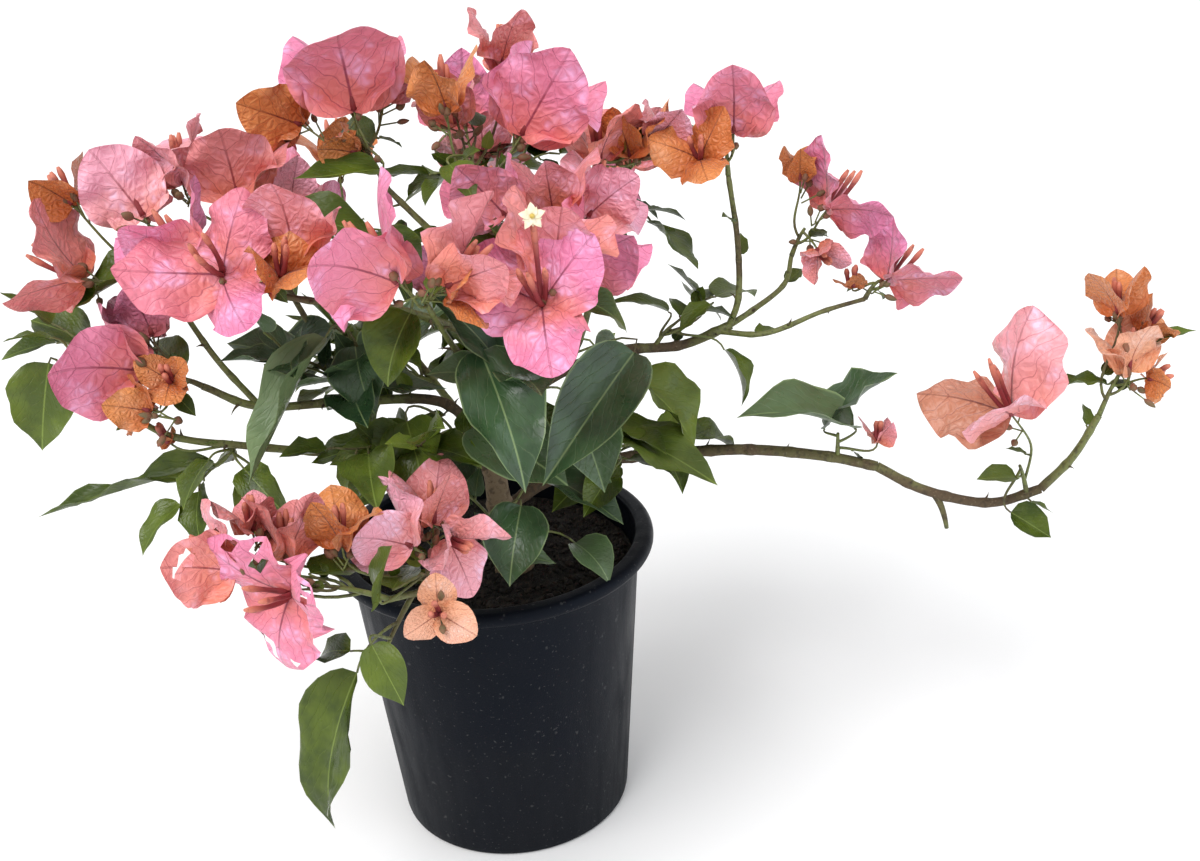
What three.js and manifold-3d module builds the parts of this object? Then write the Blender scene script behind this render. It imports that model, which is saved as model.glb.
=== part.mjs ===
// A flowering bougainvillea bush in a round plastic nursery pot, in millimetres.
// +Z is up, the pot stands on Z = 0 and the origin is the centre of its flat underside.
// A short woody stem carries tapering boughs. Each bough ends in a mass: one stem that branches
// into thin twigs, with three-bract flower heads and leaves fused on.
import * as THREE from 'three';
import { mergeVertices } from 'three/addons/utils/BufferGeometryUtils.js';
import Module from 'manifold-3d';

const wasm = await Module();
wasm.setup();

// ---- Driving dimensions ----

const POT_HEIGHT = 164;
const POT_RIM_RADIUS = 85; // outside of the rolled lip
const POT_BODY_TOP_RADIUS = 77; // just under the lip
const POT_BASE_RADIUS = 63;
const POT_WALL = 2.5;
const POT_FLOOR = 3;
const POT_BASE_CHAMFER = 3;
const LIP_HEIGHT = 8;
const LIP_ROUND = 2;
const POT_SIDES = 40;
const SOIL_BELOW_RIM = 15;

const GAP = 0.3; // between a limb and what grows on it
const SPACE_GAP = 0.3; // from a mass to the wall of its own space
// Room kept around a mass's stem, as a share of its length around a flower head or leaf, and as a
// share of the mass's reach around its middle.
const STEM_ROOM = 4;
const BLOOM_ROOM = 0.42;
const LEAF_ROOM = 0.25;
const MIDDLE_ROOM = 0.6;
// Where those points stand: along the stem, from the middle to a foot, and from a foot to its tip.
const STEM_PLACES = [0.3, 0.65];
const WAY_PLACES = [0.25, 0.5, 0.75];
const TIP_PLACES = [0, 0.5, 0.95];
const LIMB_CLEARANCE = 1.2; // from a leaf or twig to a limb it passes

const STEM_SIDES = 9;
const LIMB_SIDES = 6;
const TWIG_SIDES = 3;
const LIMB_STEP = 16; // length of one straight stretch of a limb
const STEM_FLARE = 3.5; // how far the roots' flare stands out at the foot
const STEM_FLARE_HEIGHT = 9;

const TWIG_RADIUS = 1.3;
const TWIG_TIP_RADIUS = 1.1;
const KNOB_RADIUS = 1.8; // the swelling where three bracts meet
const MASS_STEM_RADIUS = 2;

const JOINT_LENGTH = 2.6; // of the short stretch of a stem or twig that a side twig or leaf grows on
const STEM_LIFT = 3; // how far a mass's stem bows upwards
const STEM_SHARE = 0.6; // of the way from the bough to the mass's middle, where its stem ends

const BLADE_THICKNESS = 0.03; // of its length, at the middle
const BLADE_MIDDLE = 0.48; // of its length, where it is thickest
const BRACT_WIDTH = 1; // of its length
const BRACT_CUP = -20; // its sides bend away from the axis
const LEAF_WIDTH = 0.66;
const LEAF_LENGTH = [26, 52];
const LEAF_DROOP = 0.35; // most that the leaf of a leafy twig drops, of its length
const LEAF_OUTWARD = 0.5; // how far a leaf's face turns from the sky towards the outside
// Along a leafy twig: where each leaf stands and how far round it is turned from the top.
const SPRAY_LEAVES = [{ share: 0.5, turn: 100 }, { share: 0.75, turn: -100 }, { share: 1, turn: 0 }];
const SPRAY_REACH = [0.35, 0.75]; // of the mass's reach
const SPRAY_RISE = [-35, 60]; // lowest and highest slope of a leafy twig
const LOW_RISE = 5; // its highest slope in a mass with flowers, where it keeps below them

// What the rule tries in turn until a piece has room: a blade's size and tilt, a twig's curl.
const SIZES_TRIED = [1, 0.86, 0.72, 0.58];
const TILTS_TRIED = [0, 12, -12, 24, -24];
const TWIG_CURLS = [0.4, 0.25, 0.1];
const TWIG_TESTS = 8; // stretches of a twig that are tested for room

const FIRST_SEED = 101; // of the masses' draws, one number after another

// ---- Colours of the finishes ----

const BARK = '#6d5a3c';
const GREEN_WOOD = '#7a8048';
const FINISH = {
  orange: '#c96a33',
  salmon: '#d97862',
  pink: '#d9658f',
  pale: '#e8a3c0',
  mauve: '#b8627f',
  peach: '#dfa184',
  green: '#4c6b2a',
};

// ---- Small helpers ----

const vec = (p) => new THREE.Vector3(...p);
const radians = THREE.MathUtils.degToRad;
const lerp = THREE.MathUtils.lerp;
const UP = new THREE.Vector3(0, 0, 1);
const FRONT = new THREE.Vector3(0, -1, 0);

// A repeatable row of numbers between 0 and 1.
function draws(seed) {
  let state = seed;
  return () => {
    state = (state + 0x6d2b79f5) | 0;
    let t = Math.imul(state ^ (state >>> 15), state | 1);
    t ^= t + Math.imul(t ^ (t >>> 7), t | 61);
    return ((t ^ (t >>> 14)) >>> 0) / 4294967296;
  };
}

// The direction with this compass angle (from +X towards +Y) and height above the level.
function heading(azimuth, elevation) {
  const level = Math.cos(radians(elevation));
  return new THREE.Vector3(
    level * Math.cos(radians(azimuth)),
    level * Math.sin(radians(azimuth)),
    Math.sin(radians(elevation)),
  );
}

// The part of a that stands square to the unit vector b, at length 1.
function squareTo(a, b) {
  const out = a.clone().addScaledVector(b, -a.dot(b));
  return out.lengthSq() < 1e-6 ? squareTo(new THREE.Vector3(1, 0.3, 0.2), b) : out.normalize();
}

function shell(points, faces) {
  const geometry = new THREE.BufferGeometry().setFromPoints(points);
  geometry.setIndex(faces.flat());
  return geometry;
}

function solidOf(geometry) {
  geometry.deleteAttribute('normal');
  geometry.deleteAttribute('uv');
  const merged = mergeVertices(geometry);
  return new wasm.Manifold(
    new wasm.Mesh({
      numProp: 3,
      vertProperties: merged.attributes.position.array,
      triVerts: new Uint32Array(merged.index.array),
    }),
  );
}

function geometryOf(solid) {
  const mesh = solid.getMesh();
  const geometry = new THREE.BufferGeometry();
  geometry.setAttribute('position', new THREE.BufferAttribute(mesh.vertProperties, 3));
  geometry.setIndex(new THREE.BufferAttribute(mesh.triVerts, 1));
  return geometry;
}

// The largest body of a solid: a sealed hollow is filled and a loose scrap dropped.
function mainBody(solid) {
  return solid.decompose().reduce((a, b) => (b.volume() > a.volume() ? b : a));
}

// ---- Tubes: a regular polygon of changing radius along a path ----

function ringTube(centres, radii, sides) {
  const count = centres.length;
  const points = [];
  const faces = [];
  let side = null;
  for (let i = 0; i < count; i++) {
    const ahead = centres[Math.min(i + 1, count - 1)];
    const behind = centres[Math.max(i - 1, 0)];
    const along = ahead.clone().sub(behind).normalize();
    side = squareTo(side ?? (Math.abs(along.z) < 0.9 ? UP : FRONT), along);
    const across = along.clone().cross(side);
    for (let k = 0; k < sides; k++) {
      const turn = (2 * Math.PI * k) / sides;
      points.push(
        centres[i]
          .clone()
          .addScaledVector(side, radii[i] * Math.cos(turn))
          .addScaledVector(across, radii[i] * Math.sin(turn)),
      );
    }
  }
  for (let i = 0; i < count - 1; i++) {
    for (let k = 0; k < sides; k++) {
      const a = i * sides + k;
      const b = i * sides + ((k + 1) % sides);
      faces.push([a, b, b + sides], [a, b + sides, a + sides]);
    }
  }
  const last = (count - 1) * sides;
  for (let k = 1; k < sides - 1; k++) {
    faces.push([0, k + 1, k], [last, last + k, last + k + 1]);
  }
  return shell(points, faces);
}

// ---- Limbs: the stem and its boughs ----

// Each limb starts inside the limb that carries it and tapers from the first radius to the last.
const LIMBS = [
  { name: 'main_stem', radii: [7.5, 5], route: [[10, -12, 149.3], [6, -12, 185], [3, -15, 228]] },

  { name: 'bough_leader', on: 'main_stem', radii: [3.4, 1.9],
    route: [[3, -15, 228], [4, -28, 260], [5, -34, 300], [0, -38, 338], [5, -36, 352]] },
  { name: 'bough_top_left', on: 'bough_leader', radii: [1.8, 1.3],
    route: [[1, -37, 330], [-14, -40, 348], [-30, -37, 366]] },
  { name: 'bough_top_right', on: 'bough_leader', radii: [1.9, 1.4],
    route: [[4, -32, 285], [20, -14, 306], [42, 8, 328], [62, 24, 343]] },
  { name: 'bough_middle_right', on: 'bough_leader', radii: [1.8, 1.3],
    route: [[5, -34, 302], [22, -40, 314], [38, -44, 330]] },
  { name: 'bough_front_right', on: 'bough_leader', radii: [2.2, 1.4],
    route: [[4, -28, 262], [8, -58, 276], [20, -86, 300], [33, -106, 320]] },
  { name: 'bough_front', on: 'bough_front_right', radii: [1.6, 1.2],
    route: [[8, -60, 277], [-2, -84, 304], [-8, -108, 330]] },
  { name: 'bough_front_left', on: 'bough_leader', radii: [2.1, 1.4],
    route: [[4, -33, 290], [-26, -72, 320], [-54, -88, 331], [-76, -93, 338]] },

  { name: 'bough_left_high', on: 'main_stem', radii: [2.8, 1.7],
    route: [[3, -15, 222], [-16, -33, 256], [-58, -45, 265], [-99, -58, 271], [-122, -65, 286]] },
  { name: 'bough_left_crown', on: 'bough_left_high', radii: [1.6, 1.2],
    route: [[-99, -58, 271], [-118, -52, 296], [-136, -46, 330]] },
  { name: 'bough_left_middle', on: 'bough_left_high', radii: [1.7, 1.2],
    route: [[-58, -45, 265], [-74, -33, 298], [-92, -27, 338]] },
  { name: 'bough_left_low', on: 'main_stem', radii: [2.7, 1.3],
    route: [[5, -13, 208], [-20, -30, 227], [-60, -45, 237], [-108, -66, 255], [-141, -72, 266],
      [-168, -62, 282]] },

  { name: 'bough_right_high', on: 'main_stem', radii: [3, 2.4],
    route: [[3, -15, 222], [24, 4, 241], [65, 28, 251], [105, 38, 249], [133, 40, 258]] },
  { name: 'bough_right_upright', on: 'bough_right_high', radii: [1.8, 1.3],
    route: [[131, 40, 256], [137, 40, 274], [137, 40, 305], [133, 39, 340]] },
  { name: 'bough_right_middle', on: 'bough_right_high', radii: [1.7, 1.2],
    route: [[129, 40, 256], [146, 46, 264], [162, 48, 276], [166, 47, 292]] },
  { name: 'bough_right_outer', on: 'bough_right_high', radii: [1.6, 1.1],
    route: [[126, 39, 255], [150, 30, 256], [180, 33, 265], [203, 37, 269]] },

  { name: 'bough_right_low', on: 'main_stem', radii: [3.3, 2.6],
    route: [[6, -12, 182], [27, 6, 188], [54, 18, 192], [80, 20, 194], [133, 12, 198],
      [175, 5, 195], [204, 0, 189]] },
  { name: 'bough_right_low_outer', on: 'bough_right_low', radii: [2.6, 2.4],
    route: [[204, 0, 189], [226, -5, 177], [249, -8, 170], [267, -10, 169], [288, -10, 175]] },
  { name: 'bough_right_low_tip', on: 'bough_right_low_outer', radii: [2.4, 1.8],
    route: [[288, -10, 175], [304, -8, 191], [318, -3, 212]] },

  { name: 'bough_front_low', on: 'main_stem', radii: [2.2, 1.4],
    route: [[8, -12, 172], [0, -46, 184], [-8, -84, 193], [-20, -116, 201], [-38, -136, 208]] },

  { name: 'bough_back', on: 'bough_leader', radii: [2.2, 1.4],
    route: [[4, -24, 250], [10, 10, 264], [12, 50, 290], [12, 84, 322]] },
  { name: 'bough_back_left', on: 'main_stem', radii: [2.2, 1.4],
    route: [[5, -13, 214], [-18, 12, 238], [-48, 46, 270], [-72, 70, 306]] },
  { name: 'bough_back_right', on: 'bough_right_high', radii: [2, 1.4],
    route: [[46, 18, 249], [56, 44, 264], [66, 70, 290], [74, 92, 312]] },
  { name: 'bough_back_low', on: 'main_stem', radii: [2, 1.4],
    route: [[6, -12, 192], [8, 24, 208], [2, 62, 222], [-4, 100, 240]] },
];

function stemRadius(limb, fraction, height) {
  const flare = STEM_FLARE * Math.exp(-height / STEM_FLARE_HEIGHT);
  return lerp(...limb.radii, fraction) + (limb.on ? 0 : flare);
}

// A limb's path in even steps, each with its centre and radius.
function limbPath(limb, step) {
  const curve = new THREE.CatmullRomCurve3(limb.route.map(vec), false, 'catmullrom');
  const count = Math.max(3, Math.round(curve.getLength() / step));
  const foot = limb.route[0][2];
  return curve.getSpacedPoints(count).map((centre, i) => ({
    centre,
    radius: stemRadius(limb, i / count, centre.z - foot),
  }));
}

// The limb's solid, or with a gap the larger space that its neighbours keep out of.
function limbSolid(limb, gap) {
  const path = limbPath(limb, limb.on ? LIMB_STEP : LIMB_STEP / 2);
  const sides = limb.on ? LIMB_SIDES : STEM_SIDES;
  const centres = path.map((p) => p.centre);
  const last = centres.length - 1;
  const radii = path.map((p) => p.radius + gap / Math.cos(Math.PI / sides));
  const out = (from, to) => from.clone().addScaledVector(from.clone().sub(to).normalize(), gap);
  const ends = [out(centres[0], centres[1]), out(centres[last], centres[last - 1])];
  if (!limb.on) {
    // the foot is cut level where it meets the soil
    centres[1].setX(centres[0].x).setY(centres[0].y);
  }
  centres[0] = limb.on ? ends[0] : centres[0];
  centres[last] = ends[1];
  return solidOf(ringTube(centres, radii, sides));
}

const limbs = new Map();
for (const limb of LIMBS) {
  const taken = [...limbs.values()];
  const solid = taken.reduce((rest, other) => rest.subtract(other.grown), limbSolid(limb, 0));
  limbs.set(limb.name, {
    solid: mainBody(solid),
    grown: limbSolid(limb, GAP),
    path: limbPath(limb, LIMB_CLEARANCE * 2),
  });
}
const limbBeads = [...limbs.values()].flatMap((limb) => limb.path);

function touchesLimb(points) {
  return points.some((p) =>
    limbBeads.some((bead) => p.distanceTo(bead.centre) < bead.radius + LIMB_CLEARANCE),
  );
}

// ---- The masses: where each grows, the space it keeps to and what it carries ----

// on, at: the bough and how far along it the stem stands.  centre, reach: the mass's middle and how
// far it spreads.  blooms: flower heads, each with its foot, the compass and height of its axis, how
// far it is turned about that axis, how far its bracts open, their length and their colour.
// leaves: the larger leaves, from foot to tip; some are wider or are folded up along the rib.
// sprays: how many leafy twigs the rule adds.
const MASSES = [
  { name: 'mass_far_left', on: 'bough_left_crown', at: 1, centre: [-158, -44, 354], reach: 52,
    blooms: [
      { foot: [-172, -40, 368], aim: [150, 45], turn: 0, open: 40, size: 27, tint: 'orange' },
      { foot: [-169, -54, 338], aim: [176, 22], turn: 35, open: 35, size: 44, tint: 'salmon' },
      { foot: [-140, -45, 362], aim: [140, 50], turn: 10, open: 30, size: 38, tint: 'pale' }],
    leaves: [
      { foot: [-137, -52, 342], tip: [-174, -56, 322], wide: 0.75 },
      { foot: [-150, -30, 352], tip: [-162, -4, 350] }],
    sprays: 0 },
  { name: 'mass_left_back', on: 'bough_left_middle', at: 1, centre: [-96, -18, 366], reach: 46,
    blooms: [
      { foot: [-124, -30, 372], aim: [120, 78], turn: 80, open: 22, size: 34, tint: 'pale' },
      { foot: [-100, -30, 362], aim: [95, 72], turn: 0, open: 28, size: 40, tint: 'salmon' },
      { foot: [-78, -24, 356], aim: [85, 50], turn: 20, open: 35, size: 26, tint: 'pale' }],
    leaves: [], sprays: 1 },
  { name: 'mass_left_front', on: 'bough_front_left', at: 1, centre: [-94, -92, 350], reach: 50,
    blooms: [
      { foot: [-97, -96, 350], aim: [-110, 35], turn: 10, open: 62, size: 46, tint: 'pink' },
      { foot: [-112, -82, 350], aim: [155, 45], turn: 0, open: 40, size: 46, tint: 'pink' },
      { foot: [-72, -98, 348], aim: [-60, 60], turn: 60, open: 35, size: 30, tint: 'orange' },
      { foot: [-66, -90, 354], aim: [95, 60], turn: 0, open: 35, size: 38, tint: 'salmon' }],
    leaves: [], sprays: 0 },
  { name: 'mass_left_blossom', on: 'bough_left_high', at: 1, centre: [-146, -74, 298], reach: 40,
    blooms: [
      { foot: [-145, -74, 299], aim: [168, 20], turn: 0, open: 25, size: 48, tint: 'pink' },
      { foot: [-142, -60, 310], aim: [110, 60], turn: 0, open: 30, size: 30, tint: 'mauve' },
      { foot: [-133, -76, 294], aim: [-90, 40], turn: 0, open: 50, size: 18, tint: 'orange' },
      { foot: [-141, -86, 284], aim: [170, 20], turn: 10, open: 35, size: 21, tint: 'orange' }],
    leaves: [{ foot: [-132, -58, 292], tip: [-148, -32, 296] }],
    sprays: 0 },
  { name: 'mass_left_tip', on: 'bough_left_low', at: 1, centre: [-188, -50, 298], reach: 44,
    blooms: [],
    leaves: [
      { foot: [-194, -54, 298], tip: [-204, -60, 256], wide: 0.8 },
      { foot: [-192, -45, 314], tip: [-214, -45, 326] },
      { foot: [-190, -50, 306], tip: [-214, -58, 302] },
      { foot: [-180, -40, 302], tip: [-208, -24, 306], wide: 0.8 },
      { foot: [-190, -58, 312], tip: [-206, -72, 316] }],
    sprays: 0 },
  { name: 'mass_left_low', on: 'bough_left_low', at: 0.66, centre: [-120, -60, 246], reach: 42,
    blooms: [{ foot: [-139, -74, 262], aim: [160, 40], turn: 0, open: 40, size: 9, tint: 'orange' }],
    leaves: [
      { foot: [-122, -68, 246], tip: [-212, -60, 216], fold: 58, wide: 0.5 },
      { foot: [-122, -78, 254], tip: [-132, -96, 238], wide: 0.8 },
      { foot: [-106, -80, 250], tip: [-88, -98, 236] },
      { foot: [-118, -50, 240], tip: [-132, -26, 222] },
      { foot: [-104, -66, 240], tip: [-92, -78, 206], wide: 0.8 }],
    sprays: 3 },
  { name: 'mass_left_inner', on: 'bough_left_high', at: 0.48, centre: [-72, -62, 282], reach: 44,
    blooms: [],
    leaves: [
      { foot: [-60, -80, 312], tip: [-88, -108, 254], fold: 52, wide: 0.6 },
      { foot: [-62, -44, 302], tip: [-92, -48, 262], wide: 0.85 },
      { foot: [-50, -62, 300], tip: [-44, -78, 270], wide: 0.8 },
      { foot: [-84, -60, 292], tip: [-112, -70, 300] },
      { foot: [-62, -46, 280], tip: [-74, -18, 268] }],
    sprays: 4 },

  { name: 'mass_top_left', on: 'bough_top_left', at: 1, centre: [-52, -14, 404], reach: 48,
    blooms: [
      { foot: [-70, -6, 390], aim: [170, 32], turn: 0, open: 35, size: 33, tint: 'orange' },
      { foot: [-42, -32, 382], aim: [165, 22], turn: 0, open: 35, size: 22, tint: 'orange' },
      { foot: [-42, -28, 400], aim: [100, 74], turn: 0, open: 28, size: 52, tint: 'pink' },
      { foot: [-30, -10, 400], aim: [40, 66], turn: 20, open: 25, size: 26, tint: 'pale' }],
    leaves: [
      { foot: [-32, -40, 376], tip: [-66, -56, 372] },
      { foot: [-40, -2, 378], tip: [-56, 22, 384] }],
    sprays: 0 },
  { name: 'mass_top', on: 'bough_leader', at: 1, centre: [14, -14, 400], reach: 50,
    blooms: [
      { foot: [32, -20, 382], aim: [30, 48], turn: -10, open: 30, size: 52, tint: 'pink' },
      { foot: [0, -30, 398], aim: [100, 78], turn: -15, open: 26, size: 38, tint: 'orange' },
      { foot: [24, 14, 406], aim: [80, 80], turn: 40, open: 20, size: 32, tint: 'salmon' },
      { foot: [2, 0, 384], aim: [130, 60], turn: 0, open: 30, size: 34, tint: 'salmon' }],
    leaves: [
      { foot: [0, -46, 378], tip: [12, -66, 368] },
      { foot: [8, 6, 382], tip: [-4, 34, 392] }],
    sprays: 0 },
  { name: 'mass_top_right', on: 'bough_top_right', at: 1, centre: [78, 34, 362], reach: 44,
    blooms: [
      { foot: [68, 34, 352], aim: [95, 76], turn: 50, open: 30, size: 38, tint: 'salmon' },
      { foot: [84, 38, 352], aim: [70, 70], turn: 80, open: 28, size: 34, tint: 'orange' },
      { foot: [98, 40, 360], aim: [20, 55], turn: 0, open: 40, size: 27, tint: 'pale' }],
    leaves: [], sprays: 1 },
  { name: 'mass_middle_right', on: 'bough_middle_right', at: 1, centre: [46, -46, 346], reach: 44,
    blooms: [
      { foot: [45, -44, 350], aim: [100, 68], turn: 0, open: 26, size: 42, tint: 'salmon' },
      { foot: [60, -36, 346], aim: [25, 42], turn: 0, open: 35, size: 42, tint: 'pale' },
      { foot: [24, -52, 354], aim: [140, 48], turn: 0, open: 32, size: 38, tint: 'pink' },
      { foot: [52, -58, 330], aim: [10, 35], turn: 0, open: 32, size: 42, tint: 'pink' }],
    leaves: [{ foot: [30, -40, 326], tip: [14, -60, 352] }],
    sprays: 1 },

  { name: 'mass_front', on: 'bough_front', at: 1, centre: [-16, -122, 352], reach: 46,
    blooms: [
      { foot: [-18, -128, 352], aim: [160, 40], turn: -15, open: 32, size: 50, tint: 'pink' },
      { foot: [0, -124, 348], aim: [5, 30], turn: 0, open: 32, size: 42, tint: 'salmon' },
      { foot: [4, -120, 344], aim: [-30, 10], turn: 60, open: 45, size: 26, tint: 'orange' }],
    leaves: [{ foot: [-18, -104, 330], tip: [-32, -114, 300], wide: 0.9 }],
    sprays: 0 },
  { name: 'mass_front_right', on: 'bough_front_right', at: 1, centre: [42, -114, 340], reach: 46,
    blooms: [
      { foot: [39, -116, 335], aim: [-100, 45], turn: 0, open: 60, size: 46, tint: 'pink' },
      { foot: [44, -108, 342], aim: [70, 62], turn: 0, open: 28, size: 44, tint: 'salmon' }],
    leaves: [{ foot: [54, -98, 330], tip: [78, -92, 312] }],
    sprays: 0 },
  { name: 'mass_centre_leaves', on: 'bough_front_right', at: 0.45, centre: [34, -92, 274], reach: 46,
    blooms: [],
    leaves: [
      { foot: [10, -98, 308], tip: [29, -138, 258], wide: 0.7 },
      { foot: [78, -62, 288], tip: [34, -112, 246], wide: 0.6 },
      { foot: [2, -76, 262], tip: [44, -100, 240], wide: 0.8 },
      { foot: [60, -46, 286], tip: [70, -30, 256], wide: 0.8 },
      { foot: [48, -58, 262], tip: [58, -80, 226], wide: 0.8 }],
    sprays: 1 },
  { name: 'mass_centre_inner', on: 'bough_left_high', at: 0.12, centre: [-32, -70, 244], reach: 58,
    blooms: [],
    leaves: [
      { foot: [-22, -56, 246], tip: [-62, -64, 214], wide: 0.9 },
      { foot: [-30, -66, 262], tip: [-20, -92, 236], wide: 0.8 },
      { foot: [-36, -44, 244], tip: [-50, -16, 226], wide: 0.8 }],
    sprays: 3 },
  { name: 'mass_centre_low', on: 'bough_front_low', at: 0.3, centre: [18, -62, 206], reach: 52,
    blooms: [],
    leaves: [
      { foot: [36, -48, 218], tip: [66, -66, 198], wide: 0.8 },
      { foot: [0, -76, 196], tip: [34, -66, 180], wide: 0.6 },
      { foot: [20, -70, 216], tip: [12, -98, 188], wide: 0.8 },
      { foot: [44, -42, 178], tip: [62, -60, 166], wide: 0.9 }],
    sprays: 1 },
  { name: 'mass_right_inner', on: 'bough_right_low', at: 0.28, centre: [84, -14, 224], reach: 56,
    blooms: [],
    leaves: [
      { foot: [78, -8, 252], tip: [112, -24, 220], wide: 0.95 },
      { foot: [62, -22, 232], tip: [112, -50, 206], wide: 0.62 },
      { foot: [72, -26, 226], tip: [92, -46, 228], wide: 0.8 },
      { foot: [74, 6, 230], tip: [50, 16, 210], wide: 0.8 }],
    sprays: 2 },

  { name: 'mass_front_low_left', on: 'bough_front_low', at: 1, centre: [-88, -150, 232], reach: 50,
    blooms: [
      { foot: [-99, -150, 235], aim: [170, 22], turn: 0, open: 30, size: 42, tint: 'salmon' },
      { foot: [-94, -132, 244], aim: [100, 74], turn: 60, open: 30, size: 25, tint: 'salmon' },
      { foot: [-80, -138, 232], aim: [80, 60], turn: 55, open: 32, size: 35, tint: 'salmon' },
      { foot: [-76, -156, 226], aim: [-125, 0], turn: 20, open: 56, size: 42, tint: 'salmon' }],
    leaves: [
      { foot: [-70, -140, 226], tip: [-52, -120, 214] },
      { foot: [-90, -136, 222], tip: [-104, -112, 214] }],
    sprays: 0 },
  { name: 'mass_front_low', on: 'bough_front_low', at: 0.8, centre: [-26, -138, 226], reach: 46,
    blooms: [
      { foot: [-56, -132, 234], aim: [80, 78], turn: 80, open: 25, size: 30, tint: 'orange' },
      { foot: [-26, -124, 227], aim: [165, 32], turn: 0, open: 36, size: 36, tint: 'pale' },
      { foot: [-18, -110, 230], aim: [80, 70], turn: 45, open: 22, size: 33, tint: 'salmon' },
      { foot: [-12, -112, 224], aim: [-50, -20], turn: 0, open: 40, size: 30, tint: 'pale' },
      { foot: [-15, -150, 208], aim: [-90, 20], turn: 180, open: 72, size: 20, tint: 'peach' }],
    leaves: [
      { foot: [-40, -146, 214], tip: [-27, -160, 247] },
      { foot: [-36, -134, 212], tip: [-30, -106, 206] }],
    sprays: 0 },
  { name: 'mass_front_hanging', on: 'bough_front_low', at: 0.9, centre: [-56, -150, 160], reach: 50,
    blooms: [],
    leaves: [
      { foot: [-54, -150, 180], tip: [-78, -150, 92], wide: 0.42 },
      { foot: [-45, -155, 197], tip: [-33, -165, 171] },
      { foot: [-56, -148, 190], tip: [-74, -132, 178] }],
    sprays: 0 },

  { name: 'mass_right_pink', on: 'bough_right_upright', at: 1, centre: [132, 40, 364], reach: 44,
    blooms: [
      { foot: [136, 36, 362], aim: [60, 76], turn: -12, open: 36, size: 45, tint: 'pink' },
      { foot: [118, 26, 353], aim: [-110, 48], turn: 0, open: 58, size: 27, tint: 'orange' }],
    leaves: [], sprays: 0 },
  { name: 'mass_right_middle', on: 'bough_right_middle', at: 1, centre: [178, 48, 316], reach: 42,
    blooms: [
      { foot: [184, 45, 316], aim: [20, 38], turn: -80, open: 50, size: 40, tint: 'pink' },
      { foot: [171, 50, 331], aim: [100, 80], turn: 0, open: 24, size: 20, tint: 'orange' },
      { foot: [178, 38, 298], aim: [-70, -30], turn: 0, open: 40, size: 22, tint: 'salmon' }],
    leaves: [], sprays: 0 },
  { name: 'mass_right_outer', on: 'bough_right_outer', at: 1, centre: [216, 40, 284], reach: 40,
    blooms: [
      { foot: [215, 40, 277], aim: [15, 34], turn: -80, open: 48, size: 38, tint: 'pink' },
      { foot: [196, 36, 276], aim: [90, 70], turn: 20, open: 60, size: 12, tint: 'orange' }],
    leaves: [], sprays: 0 },
  { name: 'mass_right_high', on: 'bough_right_high', at: 0.72, centre: [110, 42, 268], reach: 40,
    blooms: [],
    leaves: [
      { foot: [100, 44, 266], tip: [68, 50, 271] },
      { foot: [122, 36, 272], tip: [104, 28, 260] },
      { foot: [118, 46, 270], tip: [100, 56, 288] },
      { foot: [128, 30, 248], tip: [138, 14, 222] }],
    sprays: 1 },
  { name: 'mass_right_low', on: 'bough_right_low', at: 0.9, centre: [184, 4, 218], reach: 44,
    blooms: [{ foot: [204, 0, 203], aim: [70, 60], turn: 20, open: 35, size: 17, tint: 'salmon' }],
    leaves: [
      { foot: [192, 2, 211], tip: [130, -6, 228], wide: 0.7 },
      { foot: [178, 10, 208], tip: [216, 8, 238], wide: 0.9 }],
    sprays: 0 },
  { name: 'mass_right_low_blossom', on: 'bough_right_low_outer', at: 0.92, centre: [268, -28, 210],
    reach: 48,
    blooms: [
      { foot: [264, -34, 230], aim: [180, 55], turn: -50, open: 44, size: 57, tint: 'salmon' }],
    leaves: [{ foot: [272, -20, 188], tip: [249, -28, 191] }],
    sprays: 0 },
  { name: 'mass_right_tip', on: 'bough_right_low_tip', at: 1, centre: [334, 0, 250], reach: 44,
    blooms: [
      { foot: [325, 0, 266], aim: [120, 76], turn: 40, open: 18, size: 30, tint: 'orange' },
      { foot: [331, -4, 236], aim: [115, 76], turn: 25, open: 22, size: 35, tint: 'peach' },
      { foot: [339, 4, 254], aim: [15, 35], turn: 30, open: 35, size: 23, tint: 'orange' },
      { foot: [342, 0, 230], aim: [-10, 5], turn: 0, open: 50, size: 19, tint: 'orange' }],
    leaves: [
      { foot: [322, 0, 228], tip: [292, 0, 231], wide: 0.45 },
      { foot: [341, 4, 247], tip: [368, 5, 253], wide: 0.4 }],
    sprays: 0 },

  { name: 'mass_back', on: 'bough_back', at: 1, centre: [12, 84, 342], reach: 54,
    blooms: [
      { foot: [0, 80, 362], aim: [110, 65], turn: 20, open: 35, size: 42, tint: 'pink' },
      { foot: [32, 92, 350], aim: [60, 45], turn: 0, open: 35, size: 38, tint: 'salmon' },
      { foot: [6, 108, 338], aim: [100, 15], turn: 40, open: 45, size: 40, tint: 'pale' }],
    leaves: [], sprays: 4 },
  { name: 'mass_back_left', on: 'bough_back_left', at: 1, centre: [-76, 70, 322], reach: 54,
    blooms: [
      { foot: [-96, 62, 338], aim: [150, 45], turn: 0, open: 35, size: 40, tint: 'pink' },
      { foot: [-70, 84, 344], aim: [100, 60], turn: 30, open: 32, size: 40, tint: 'orange' },
      { foot: [-86, 90, 314], aim: [120, 5], turn: 50, open: 45, size: 38, tint: 'pink' }],
    leaves: [], sprays: 4 },
  { name: 'mass_back_right', on: 'bough_back_right', at: 1, centre: [78, 96, 318], reach: 50,
    blooms: [
      { foot: [86, 100, 330], aim: [60, 55], turn: 10, open: 35, size: 38, tint: 'salmon' },
      { foot: [72, 116, 312], aim: [90, 10], turn: 30, open: 42, size: 36, tint: 'pink' }],
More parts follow.
